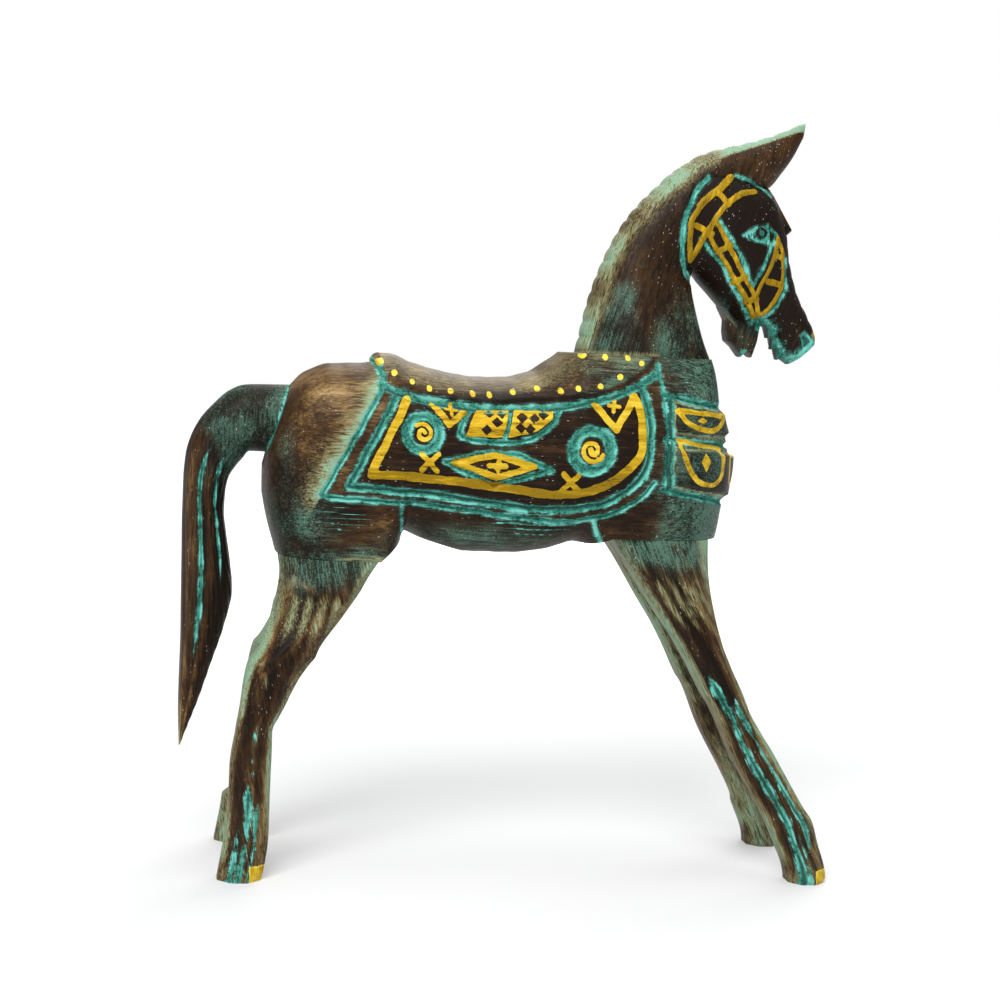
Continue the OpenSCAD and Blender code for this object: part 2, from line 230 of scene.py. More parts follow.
COLLAR_GROOVES = [[(69, 253), (98, 248), (130, 246)], [(70, 230.5), (116, 227), (130, 226)],
                  [(71, 204.5), (116, 196.5), (130, 195)]]
COLLAR_MOONS = [[(76, 245), (103, 242.5), (100, 236.5), (94, 235), (86, 236), (79, 240)],
                [(78, 230), (103, 226), (104.5, 213), (99, 207), (91, 208), (85, 212), (80, 221)]]
COLLAR_STUDS = [(89, 240, 1.7), (92.5, 219, 5)]
COLLAR_EDGE = [(71, 254), (73, 206)]
COLLAR_START = 66
COLLAR_FRONT = [[(4, 241), (20, 241), (17, 235), (4, 234)], [(4, 222), (20, 222), (18, 208), (4, 204)]]
BELLY_NOTCHES = [[(-63, 192), (-60, 172)], [(36, 189), (40, 176)]]
# Soft spots on the torso: amount, middle, reach
STAIN_SPOTS = [
    (0.55, (92, 190), (30, 14)), (0.60, (96, 262), (30, 14)), (0.45, (46, 266), (22, 7)),
    (0.75, (-92, 162), (36, 8)), (0.50, (-112, 180), (26, 20)), (0.38, (-122, 205), (7, 40)),
    (0.60, (-20, 174), (52, 10)), (0.65, (66, 203), (12, 8)),
]
TONE_SPOTS = [
    (0.75, (-98, 254), (26, 11)), (0.55, (-106, 226), (24, 24)), (0.55, (-99, 246), (9, 4)),
    (0.45, (-92, 236), (5, 8)), (0.70, (-74, 186), (9, 7)), (0.50, (-86, 172), (16, 6)),
    (0.45, (74, 186), (12, 5)), (-0.45, (-114, 200), (14, 30)), (0.30, (-10, 168), (50, 8)),
]

CHEEK_GROOVE = [(93, 367), (87, 360), (83, 351), (80, 342), (80, 331), (81, 323), (84, 315), (98, 306)]
CROWN_OUTER = [(105, 367), (100, 362), (94, 357), (88, 351), (84.5, 344), (83.5, 333), (85.5, 323)]
CROWN_INNER = [(118, 361), (110, 359), (103, 354), (97, 346), (92.5, 337.5), (85.5, 323)]
CROWN_BARS = [[(97, 359), (103, 353)], [(87, 341), (95, 337)]]
STRAP_EDGES = [[(93, 337), (122.5, 295.5)], [(97, 343), (121, 305), (124.5, 296)]]
STRAP_BARS = [[(99, 328), (105, 332)], [(108.5, 313), (115, 316)], [(116.5, 303), (121.5, 305)]]
NOSE_EDGES = [[(131, 337), (130, 328), (126, 318), (121, 306)],
              [(131, 337), (135, 329), (136, 321), (135, 311), (132, 304), (126, 296.5)]]
NOSE_BARS = [[(130, 328), (135, 327)], [(127, 314), (134, 313)]]
HALOS = [[(98, 345), (105, 335), (112, 325), (119, 311)], [(90, 334), (102, 321), (110, 309), (120, 295)],
         [(119, 311), (125, 325), (129, 336)], [(137, 327), (138, 312), (134, 302), (128, 295)]]
EYE = [(111, 337), (117.5, 342), (125, 344), (126, 340), (125.5, 336), (127, 333), (118, 334.5)]
PUPIL = (121.5, 339)
EYE_CREASE = [(113, 336.6), (117, 338.6), (118, 336)]
EYE_CORNER = [(127, 341), (130.5, 338), (131, 333)]
MUZZLE_EDGE = [(143, 273), (150, 276), (157, 283)]
LIP_LINE = [(126, 293), (132, 289), (136, 281), (141, 272)]
NOSTRIL = [(148, 287), (151.5, 289), (157, 284), (151, 279)]
NOSE_DOT = (157, 287.5)
EAR_GROOVE = [(108, 368), (116, 366.5), (124, 363), (128, 359)]
MANE_EDGE = [(144, 394), (121, 385), (105, 379), (89, 371), (68, 352), (53, 334), (44, 313), (38, 289),
             (34, 273)]
HEAD_AREA = [(93, 367), (80, 342), (80, 324), (88, 312), (120, 288), (165, 265), (165, 300), (135, 350),
             (125, 364), (108, 369)]
JAW_LINE = [(86, 313), (111, 294)]
BEARD_FRONT = [(125.5, 292), (123, 283), (119, 276)]

# The depths and amounts that steer the paint
FIELDS = ("gold", "teal", "mint", "stain", "tone")
UNPAINTED = -20

CAMERA_PLACE = (-0.1757, -0.9834, 0.2732)
CAMERA_YAW, CAMERA_PITCH, CAMERA_ROLL = (math.radians(a) for a in (9.79, 4.62, 2.97))
CAMERA_LENS = 68.4
# Lights: name, place, size in metres, power in watts
LIGHTS = [
    ("key", (-0.6, -1.2, 1.5), 0.9, 36), ("top", (0.2, 0.1, 1.7), 1.3, 13),
    ("back", (0.5, 1.3, 1.2), 1.2, 15),
]


# ---------------------------------------------------------------- curves and fields

def smooth(points, at):
    """Monotone cubic through (position, value) pairs: a knot's slope is the harmonic mean of the slopes
    on its two sides, and nought at a peak, so the curve never passes beyond a knot."""
    x, y = np.array(points, float).T
    step = np.diff(x)
    slope = np.diff(y) / step
    before, after = slope[:-1], slope[1:]
    alike = before * after > 0
    total = np.where(alike, before + after, 1)
    tangent = np.concatenate([slope[:1], np.where(alike, 2 * before * after / total, 0), slope[-1:]])
    i = np.clip(np.searchsorted(x, at, side="right") - 1, 0, len(x) - 2)
    t = np.clip((at - x[i]) / step[i], 0, 1)
    start = (1 + 2 * t) * (1 - t) ** 2 * y[i] + t * (1 - t) ** 2 * step[i] * tangent[i]
    end = t * t * (3 - 2 * t) * y[i + 1] + t * t * (t - 1) * step[i] * tangent[i + 1]
    return start + end


def columns(table, at):
    """Every column of a table after the first, each as a smooth curve of the first."""
    table = np.array(table, float)
    return np.stack([smooth(table[:, [0, k]], at) for k in range(1, table.shape[1])], -1)


def ease(low, high, value):
    """0 below low, 1 above high, and a smooth step between them."""
    t = np.clip((value - low) / (high - low), 0, 1)
    return t * t * (3 - 2 * t)


def distance(p, points, closed=False):
    """Least distance from each place p to the stretches between the points."""
    points = np.array(points, float)
    starts = points if closed else points[:-1]
    ends = np.roll(points, -1, 0) if closed else points[1:]
    best = np.full(p.shape[:-1], np.inf)
    for a, b in zip(starts, ends):
        run = b - a
        t = np.clip((p - a) @ run / (run @ run), 0, 1)
        best = np.minimum(best, np.linalg.norm(p - a - t[..., None] * run, axis=-1))
    return best


def stroke(p, points, half, closed=False):
    """How deep p lies inside a line as wide as twice half: above 0 inside it."""
    return half - distance(p, points, closed)


def strokes(p, lines, half):
    """Inside any of several lines of one width."""
    return join(*[stroke(p, line, half) for line in lines])


def patch(p, points):
    """How deep p lies inside an outline. A ray towards +x crosses the outline an odd number of times
    from a place inside it."""
    points = np.array(points, float)
    inside = np.zeros(p.shape[:-1], bool)
    for a, b in zip(points, np.roll(points, -1, 0)):
        crosses = (a[1] > p[..., 1]) != (b[1] > p[..., 1])
        rise = b[1] - a[1] if b[1] != a[1] else 1
        inside ^= crosses & (p[..., 0] < a[0] + (p[..., 1] - a[1]) * (b[0] - a[0]) / rise)
    return np.where(inside, 1, -1) * distance(p, points, True)


def rounded(points):
    """The same line with its corners cut twice, each time at a quarter of the stretches beside them."""
    points = np.array(points, float)
    for _ in range(2):
        before, after = points[:-1], points[1:]
        cuts = np.stack([0.75 * before + 0.25 * after, 0.25 * before + 0.75 * after], 1).reshape(-1, 2)
        points = np.vstack([points[:1], cuts[1:-1], points[-1:]])
    return points


def disc(p, centre, radius):
    """How deep p lies inside a round spot."""
    return radius - np.linalg.norm(p - np.array(centre, float), axis=-1)


def blob(p, centre, reach):
    """A soft spot: 1 in its middle and fading by a bell curve as wide as its reach."""
    return np.exp(-(((p - np.array(centre, float)) / np.array(reach, float)) ** 2).sum(-1))


def spots(p, table):
    """Every soft spot of a table of amounts, middles and reaches."""
    return [amount * blob(p, middle, reach) for amount, middle, reach in table]


def join(*fields):
    """Inside any of the fields."""
    return reduce(np.maximum, fields)


def cut(field, *others):
    """Inside the field and outside the others."""
    return reduce(np.minimum, [field] + [-other for other in others])


def curl(centre, inner, outer, turns, start):
    """Points of a spiral whose radius grows evenly from inner to outer."""
    t = np.linspace(0, 1, 22)
    angle = start + turns * 2 * np.pi * t
    radius = inner + (outer - inner) * t
    return np.array(centre) + np.stack([radius * np.cos(angle), radius * np.sin(angle)], -1)


def hand(p, size, amount, seed=0):
    """Moves places by a small unsteady wave, so that straight cuts look made by hand."""
    a, b = p[..., 0] / size, p[..., 1] / size
    wave_a = np.sin(1.7 * a + 2.3 * b + seed) + 0.6 * np.sin(4.1 * a - 3.2 * b + 2 * seed)
    wave_b = np.sin(2.1 * b - 1.3 * a + 3 * seed) + 0.6 * np.sin(3.7 * b + 4.4 * a + seed)
    return p + amount * np.stack([wave_a, wave_b], -1)


def bulge(value, fullness):
    """Power of a sine or cosine that keeps its sign."""
    return np.sign(value) * np.abs(value) ** (2 / fullness)


# ---------------------------------------------------------------- meshes

def normals_of(grid, closed):
    """Outward or inward unit normals of a grid of places, from the cross product of its two directions."""
    along = np.gradient(grid, axis=0)
    if closed:
        wrapped = np.concatenate([grid[:, -1:], grid, grid[:, :1]], axis=1)
        across = (wrapped[:, 2:] - wrapped[:, :-2]) / 2
    else:
        across = np.gradient(grid, axis=1)
    normal = np.cross(along, across)
    length = np.linalg.norm(normal, axis=-1, keepdims=True)
    return normal / np.maximum(length, 1e-9)


def outward(grid, closed=True):
    """The grid's normals, turned so that they point away from the middle of their own ring."""
    normal = normals_of(grid, closed)
    away = grid - grid.mean(axis=1, keepdims=True)
    return normal if (normal * away).sum() > 0 else -normal


def ring_faces(rows, count):
    """Quads between neighbouring rings, and a fan of triangles from each end ring to its middle."""
    i, j = np.meshgrid(np.arange(rows - 1), np.arange(count), indexing="ij")
    k = (j + 1) % count
    quads = np.stack([i * count + j, i * count + k, (i + 1) * count + k, (i + 1) * count + j], -1)
    j = np.arange(count)
    k = (j + 1) % count
    last = (rows - 1) * count
    first_fan = np.stack([np.full(count, rows * count), k, j], -1)
    last_fan = np.stack([np.full(count, rows * count + 1), last + j, last + k], -1)
    return quads.reshape(-1, 4), np.concatenate([first_fan, last_fan])


def round_outline(corners, count):
    """Places spread evenly over every stretch of a closed outline."""
    t = np.linspace(0, 1, count, endpoint=False)[:, None]
    corners = corners[..., None, :]
    places = corners + (np.roll(corners, -1, -3) - corners) * t
    return places.reshape(*corners.shape[:-3], -1, 2)


def solid(name, grid):
    """Closed mesh round a grid of rings in mm. Its faces are turned if its volume comes out negative."""
    rows, count = grid.shape[:2]
    quads, fans = ring_faces(rows, count)
    middles = grid[[0, -1]].mean(axis=1)
    places = np.concatenate([grid.reshape(-1, 3), middles])
    triangles = np.concatenate([quads[:, [0, 1, 2]], quads[:, [0, 2, 3]], fans])
    a, b, c = (places[triangles[:, k]] for k in range(3))
    if (a * np.cross(b, c)).sum() < 0:
        quads = quads[:, ::-1]
        fans = fans[:, ::-1]
    mesh = bpy.data.meshes.new(name)
    mesh.vertices.add(len(places))
    mesh.vertices.foreach_set("co", (places * MM).astype(np.float32).ravel())
    corners = np.concatenate([quads.ravel(), fans.ravel()])
    sizes = np.concatenate([np.full(len(quads), 4), np.full(len(fans), 3)])
    mesh.loops.add(len(corners))
    mesh.loops.foreach_set("vertex_index", corners.astype(np.int32))
    mesh.polygons.add(len(sizes))
    starts = np.concatenate([[0], np.cumsum(sizes)[:-1]])
    mesh.polygons.foreach_set("loop_start", starts.astype(np.int32))
    mesh.update(calc_edges=True)
    mesh.validate()
    piece = bpy.data.objects.new(name, mesh)
    bpy.context.scene.collection.objects.link(piece)
    return piece


def shade(piece, angle=50):
    """Smooth shading that stays sharp where faces meet at more than the angle, in degrees."""
    mesh = piece.data
    mesh.polygons.foreach_set("use_smooth", np.ones(len(mesh.polygons), bool))
    mesh.set_sharp_from_angle(angle=math.radians(angle))


def places_of(piece):
    """The piece's vertices in mm."""
    flat = np.empty(len(piece.data.vertices) * 3, np.float32)
    piece.data.vertices.foreach_get("co", flat)
    return flat.reshape(-1, 3).astype(float) / MM


def paint(piece, fields):
    """Stores each field as a number on the piece's vertices."""
    for name, values in zip(FIELDS, fields):
        attribute = piece.data.attributes.new(name, "FLOAT", "POINT")
        attribute.data.foreach_set("value", np.asarray(values, np.float32).ravel())


def painted_solid(name, grid, fields, angle=50):
    """A closed piece with its paint and its shading. The middle of each end takes its ring's mean."""
    piece = solid(name, grid)
    spread = [np.broadcast_to(field, grid.shape[:2]) for field in fields]
    paint(piece, [np.concatenate([field.ravel(), field[[0, -1]].mean(axis=1)]) for field in spread])
    shade(piece, angle)
    return piece


def finish_piece(piece, node, material):
    """Gives a piece its material, hangs it under the root body and hides the frame's part for its node."""
    piece.data.materials.clear()
    piece.data.materials.append(material)
    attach(piece, "root")
    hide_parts(node)


# ---------------------------------------------------------------- materials

class Value:
    """A socket. Arithmetic on it adds Math nodes, and works with plain numbers on either side."""

    def __init__(self, shader, socket):
        self.shader = shader
        self.socket = socket

    def _math(self, operation, a, b):
        made = self.shader.node("ShaderNodeMath", {"operation": operation}, {0: a, 1: b})
        return Value(self.shader, made.outputs[0])

    def __add__(self, other):
        return self._math("ADD", self, other)

    def __radd__(self, other):
        return self._math("ADD", other, self)

    def __sub__(self, other):
        return self._math("SUBTRACT", self, other)

    def __rsub__(self, other):
        return self._math("SUBTRACT", other, self)

    def __mul__(self, other):
        return self._math("MULTIPLY", self, other)

    def __rmul__(self, other):
        return self._math("MULTIPLY", other, self)


class Shader:
    """A material's node tree, with one method for each kind of step."""

    def __init__(self, name):
        self.material = bpy.data.materials.new(name)
        self.material.use_nodes = True
        self.tree = self.material.node_tree
        self.tree.nodes.clear()
        self.output = self.tree.nodes.new("ShaderNodeOutputMaterial")

    def node(self, kind, settings, inputs):
        """A node of any kind: its settings first, then a value or a link for each socket."""
        made = self.tree.nodes.new(kind)
        for name, value in settings.items():
            if name == "stops":
                ramp = made.color_ramp
                while len(ramp.elements) < len(value):
                    ramp.elements.new(1)
                for element, (place, colour) in zip(ramp.elements, value):
                    element.position = place
                    element.color = (*colour, 1)
            else:
                setattr(made, name, value)
        for key, value in inputs.items():
            socket = made.inputs[key]
            if isinstance(value, Value):
                self.tree.links.new(value.socket, socket)
            elif isinstance(value, bpy.types.NodeSocket):
                self.tree.links.new(value, socket)
            else:
                socket.default_value = value
        return made

    def skin(self, inputs):
        """Ends the material in a Principled shader."""
        made = self.node("ShaderNodeBsdfPrincipled", {}, inputs)
        self.tree.links.new(made.outputs[0], self.output.inputs[0])
        return self.material

    def bump(self, height, strength, depth):
        """A normal from a height, with its depth in mm."""
        inputs = {"Height": height, "Strength": strength, "Distance": depth * MM}
        return self.node("ShaderNodeBump", {}, inputs).outputs[0]

    def attribute(self, name):
        """A field that is stored on the mesh."""
        made = self.node("ShaderNodeAttribute", {"attribute_name": name}, {})
        return Value(self, made.outputs["Fac"])

    def places(self, turn=0, stretch=(1, 1, 1)):
        """Object places in mm, turned about Y by an angle and squeezed along the grain."""
        start = self.node("ShaderNodeTexCoord", {}, {}).outputs["Object"]
        turned = self.node("ShaderNodeMapping", {}, {"Vector": start, "Rotation": (0, turn, 0)})
        scaled = self.node(
            "ShaderNodeMapping", {},
            {"Vector": turned.outputs[0], "Scale": tuple(s / MM for s in stretch)},
        )
        return scaled.outputs[0]

    def noise(self, places, scale, detail=3, rough=0.55):
        """Cloudy noise, less a half, so that it lies about nought."""
        made = self.node(
            "ShaderNodeTexNoise", {},
            {"Vector": places, "Scale": scale, "Detail": detail, "Roughness": rough},
        )
        return Value(self, made.outputs["Fac"]) - 0.5

    def specks(self, places, scale, size, share):
        """Small spots, one in some of the cells: 1 in a spot and 0 outside it."""
        made = self.node("ShaderNodeTexVoronoi", {}, {"Vector": places, "Scale": scale, "Randomness": 1})
        near = self.step(Value(self, made.outputs["Distance"]), size, size * 0.6)
        parts = self.node("ShaderNodeSeparateColor", {}, {"Color": made.outputs["Color"]})
        return near * self.step(Value(self, parts.outputs[0]), 1 - share, 1.001 - share)

    def step(self, value, low, high):
        """0 below low, 1 above high, and a smooth step between them. It falls where low is above high."""
        made = self.node(
            "ShaderNodeMapRange", {"interpolation_type": "SMOOTHSTEP"},
            {"Value": value, "From Min": low, "From Max": high, "To Min": 0, "To Max": 1},
        )
        return Value(self, made.outputs[0])

    def ramp(self, value, stops):
        """Colours at places between 0 and 1."""
        return self.node("ShaderNodeValToRGB", {"stops": stops}, {"Fac": value}).outputs["Color"]

    def mix(self, share, first, second):
        """Colour first where share is 0 and second where it is 1."""
        ends = {}
        for key, value in ((6, first), (7, second)):
            ends[key] = value if isinstance(value, bpy.types.NodeSocket) else (*value, 1)
        made = self.node("ShaderNodeMix", {"data_type": "RGBA"}, {0: share, **ends})
        return made.outputs[2]


def carved_wood(name, turn, stretch, wear):
    """Stained, washed and hand-painted wood, with some painted light. Five fields on the mesh steer it: gold
    and teal are depths inside painted strokes and grooves in mm, mint and stain are amounts of the two
    washes, and tone goes from -1, near black, to 1, worn tan. On the saddle top the mint and the tone are
    partly a painted sheen, on the legs' inner faces the mint is painted glare, and the grooves get painted
    shade deep down and painted highlights on their rims. Wear is how far the grain breaks the turquoise up,
    in mm."""
    colours = bpy.context.scene.horse_paint
    s = Shader(name)
    grain_places = s.places(turn, stretch)
    plain_places = s.places()
    grain = s.noise(grain_places, 0.50, 5, 0.62)
    fibre = s.noise(grain_places, 1.7, 3, 0.65)
    strands = s.noise(s.places(turn, tuple(f if f == 1 else f / 2 for f in stretch)), 1.2, 3, 0.6)
    cloud = s.noise(plain_places, 0.050, 4, 0.55)
    smoke = s.noise(grain_places, 0.12, 3, 0.5)
    fine = s.noise(plain_places, 1.25, 3, 0.7)
    edge = s.noise(plain_places, 0.6, 3, 0.6)
    patches = s.noise(plain_places, 0.13, 3, 0.6)
    brushed = s.noise(grain_places, 0.30, 4, 0.6)
    gold, teal, mint, stain, tone = (s.attribute(field) for field in FIELDS)

    # Wood: grain, soft clouds and the tone field choose a place on one brown ramp
    level = (
        0.34 + tone * 0.36 + grain * 0.75 + cloud * 0.65 + smoke * 0.55 + fibre * 0.55 + strands * 0.30
    )
    middle = tuple(0.55 * a + 0.45 * b for a, b in zip(colours.espresso, colours.brown))
    colour = s.ramp(level, [(0.10, colours.espresso), (0.30, middle), (0.48, colours.brown),
                            (0.72, colours.tan), (1, colours.worn)])
    pores = s.step(fibre + strands * 0.6, -0.08, -0.16)
    colour = s.mix(pores * 0.55, colour, colours.espresso)

    # Dark turquoise stain, speckled into the grain
    stain_level = stain * (fine * 1.5 + grain * 1.8 + cloud * 2.0 + 1)
    stain_mask = s.step(stain_level, 0.12, 0.86)
    stain_colour = s.mix(s.step(fine + strands * 1.2 + cloud, -0.12, 0.16),
                         colours.dark_stain_and_groove_shade, colours.stain_light)
    colour = s.mix(stain_mask * 0.72, colour, stain_colour)

    # Pale wash, dragged along the grain: cream where it is thin and mint where it is thick. On the saddle
    # top it is partly a painted sheen, and on the legs' inner faces it is painted glare.
    mint_level = mint * (fibre * 2.2 + strands * 1.8 + cloud + 1)
    mint_mask = s.step(mint_level, 0.16, 0.72)
    mint_colour = s.mix(s.step(mint_level + grain * 0.6, 0.40, 0.85), colours.cream, colours.mint)
    colour = s.mix(mint_mask * 0.82, colour, mint_colour)

    # White dust left in the pores, thicker in some places than in others
    dust_places = s.places(turn, tuple(math.sqrt(f) for f in stretch))
    dust = s.specks(dust_places, 0.95, 0.19, 0.4) * s.step(cloud + smoke * 0.7, -0.10, 0.12)
    colour = s.mix(dust * 0.60, colour, colours.dust)

    # Turquoise dragged out of the grooves, then the grooves themselves: painted highlights of aqua on their
    # shallow rims and painted shade in their deep middles
    halo = s.step(teal + fibre * 2 + strands * 2, -1.3, 0.3) * s.step(patches, -0.16, 0.12)
    turquoise = s.mix(s.step(edge + patches * 0.6, -0.16, 0.06), colours.turquoise_deep, colours.turquoise)
    turquoise = s.mix(s.step(fine + fibre * 0.5, 0.06, 0.26) * 0.6, turquoise, colours.aqua)
    # Thick aqua in patches, limited to the grooves' shallow rims: partly thick paint, partly a painted
    # highlight
    thick_aqua_and_rim_highlight = s.step(patches + strands * 0.5, -0.04, 0.12) * (1 - s.step(teal, 0.5, 1.2))
    turquoise = s.mix(thick_aqua_and_rim_highlight * 0.80, turquoise, colours.aqua)
    # Painted shade: the deep middle of each groove darkens to the dark stain colour
    bottom = s.step(teal + strands * 2 + patches * 1.5, 1.25, 1.75)
    turquoise = s.mix(bottom * 0.72, turquoise, colours.dark_stain_and_groove_shade)
    colour = s.mix(halo * 0.45, colour, turquoise)
    ragged = edge * 0.7 + fine * 0.4 + strands * wear + fibre * (wear * 0.6) + patches * (wear * 0.8)
    in_groove = s.step(teal + ragged, -0.22, 0.22)
    colour = s.mix(in_groove * 0.95, colour, turquoise)

    # Gold, brushed along the grain, darker where the wood under it is dark
    in_gold = s.step(gold + edge * 0.6 + fibre * 0.4, -0.12, 0.12)
    gold_level = 0.78 + brushed * 1.6 + fibre * 0.7 + tone * 0.48
    gold_colour = s.ramp(gold_level, [(0.15, colours.gold_dark), (0.5, colours.gold),
                                      (0.95, colours.gold_light)])
    gold_cover = 1 - s.step(fibre + brushed * 0.8, -0.14, -0.26) * 0.7
    colour = s.mix(in_gold * gold_cover, colour, gold_colour)

    rough = 0.44 + fibre * 0.30 + mint_mask * 0.14 + in_groove * 0.16
    height = (
        grain * 0.5 + fibre * 0.45 - pores * 0.15 - in_groove * 0.30 + in_gold * 0.30 - dust * 0.12
    )
    return s.skin({
        "Base Color": colour, "Roughness": rough, "Metallic": in_gold * 0.15,
        "Normal": s.bump(height, 0.6, 0.40), "Specular IOR Level": 0.10,
    })


def peg_wood():
    """Pale turned wood with fine lengthwise grain."""
    s = Shader("peg_wood")
    grain = s.noise(s.places(stretch=(1, 1, 0.12)), 1.1, 4, 0.6)
    colour = s.ramp(grain + 0.5, [(0.3, (0.36, 0.21, 0.10)), (0.7, (0.62, 0.42, 0.23))])
    return s.skin({"Base Color": colour, "Roughness": grain * 0.2 + 0.6, "Normal": s.bump(grain, 0.4, 0.2)})


# ---------------------------------------------------------------- torso

def closer_at_ends(count):
    """Places from 0 to 1: mostly an even spread, with some of a cosine's, which crowds towards the ends."""
    t = np.linspace(0, 1, count)
    return 0.72 * t + 0.28 * (0.5 - 0.5 * np.cos(np.pi * t))


def seat_level(shares):
    """Lowest level left by the chisel, as straight lines between the seats and the belly."""
    places, levels = np.array(SEAT_LEVELS, float).T
    return np.interp(shares, places, levels)


def torso_grid(shares, angles, upper):
    """Rounded section carried along the torso. Each half is a superellipse: half width times cosine and
    height times sine, both to the power 2 / fullness."""
    half = TORSO_HALF * smooth(SIDE_LINE, shares)[:, None]
    x = np.broadcast_to((RUMP_X + shares * TORSO_LENGTH)[:, None], angles.shape)
    y = half * bulge(np.cos(angles), FULLNESS)
    swell = bulge(np.sin(angles), FULLNESS)
    if upper:
        z = np.minimum(NECK_SEAT, GLUE_LINE + UPPER_SLAB * smooth(BACK_LINE, shares)[:, None] * swell)
    else:
        floor = seat_level(shares)[:, None]
        z = np.maximum(floor, GLUE_LINE + LOWER_SLAB * smooth(BELLY_LINE, shares)[:, None] * swell)
    return np.stack([x, y, z], -1)


def torso_side(x, z):
    """Half width of the plain torso at a place below the glue line, from the superellipse's own equation:
    (y / half width) ** fullness + (drop / depth) ** fullness = 1."""
    share = np.clip((x - RUMP_X) / TORSO_LENGTH, 0, 1)
    depth = LOWER_SLAB * smooth(BELLY_LINE, share)
    left = np.clip(1 - np.clip((GLUE_LINE - z) / depth, 0, 1) ** FULLNESS, 0, 1)
    return TORSO_HALF * smooth(SIDE_LINE, share) * left ** (1 / FULLNESS)


def torso_carving(p):
    """Depths inside the saddle, the grooves, the collar's blocks and the band round the blanket."""
    saddle = patch(p, SADDLE_AREA)
    roundels = join(*[cut(disc(p, c, r), disc(p, c, boss)) for c, r, boss in ROUNDELS])
    roundels = np.where(roundels > 0, 0.55 * roundels, roundels)
    lines = join(
        stroke(p, rounded(SADDLE_GROOVE), 2.0), stroke(p, BLANKET_RIM[:2], 1.3),
        stroke(p, rounded(BLANKET_RIM[1:]), 1.4), stroke(p, BLANKET_GROOVE[:2], 2.0),
        stroke(p, rounded(BLANKET_GROOVE[1:]), 2.1), stroke(p, EYE_OUTLINE, 1.6, True),
        stroke(p, rounded(LEAF_GROOVE), 1.5), stroke(p, LEAF_SPLIT, 1),
        strokes(p, [rounded(line) for line in GIRTH], 1.1), strokes(p, COLLAR_GROOVES, 1.7),
        strokes(p, BELLY_NOTCHES, 1.0), roundels,
    )
    lines = cut(lines, saddle)
    collar = join(*[patch(p, block) for block in COLLAR_BLOCKS])
    band = cut(patch(p, BLANKET_RIM + BLANKET_GROOVE[::-1]), lines)
    return saddle, lines, collar, band


def rhomb(p, x, z, across, rise):
    """How deep p lies inside a rhomb with its corners beside, above and below its middle."""
    return patch(p, [(x - across, z), (x, z + rise), (x + across, z), (x, z - rise)])


def torso_gold(p, front, x):
    """Gold strokes of the blanket and the saddle, and the collar's moons with a stud in each."""
    moons = [join(stroke(p, moon[:2], 1.25), stroke(p, rounded(moon[1:] + moon[:1]), 1.25))
             for moon in COLLAR_MOONS]
    moons_front = [np.minimum(stroke(front, moon, 1.1, True), x - 104) for moon in COLLAR_FRONT]
    studs = [rhomb(p, cx, cz, 3, rise) for cx, cz, rise in COLLAR_STUDS]
    spirals = [curl(c, 0.8, boss - 0.8, turns, start) for (c, _, boss), turns, start in
               zip(ROUNDELS, (1.3, 1.6), (0.5, 2.2))]
    crosses = [[(cx - 4, cz - 4 * lean), (cx + 4, cz + 4 * lean)] for cx, cz in CROSSES for lean in (-1, 1)]
    sparks = [[(cx - 2.7 * a, cz - 2.7 * b), (cx + 2.7 * a, cz + 2.7 * b)]
              for cx, cz in SPARKS for a, b in ((1, 0), (0, 1))]
    lattice = [rhomb(p, cx, cz, 2.9, 2.8) for cx, cz in LEAF_DIAMONDS]
    blanket = join(
        stroke(p, BORDER_REAR, 2.1), stroke(p, rounded(BORDER_LOW), 2.2), stroke(p, BORDER_CROWN, 1.9),
        stroke(p, ARROW_REAR, 1.5), strokes(p, crosses, 1.35), strokes(p, sparks, 1),
        *[disc(p, dot, 1.5) for dot in SADDLE_DOTS], strokes(p, spirals, 1.05),
        stroke(p, EYE_RHOMB, 1.6, True), stroke(p, RHOMB_BAR, 1.4), stroke(p, RHOMB_POST, 1.3),
        cut(patch(p, LEAF), stroke(p, LEAF_SPLIT, 1.2), *lattice),
    )
    return np.where(x > COLLAR_START, join(*moons, *moons_front, *studs), blanket)


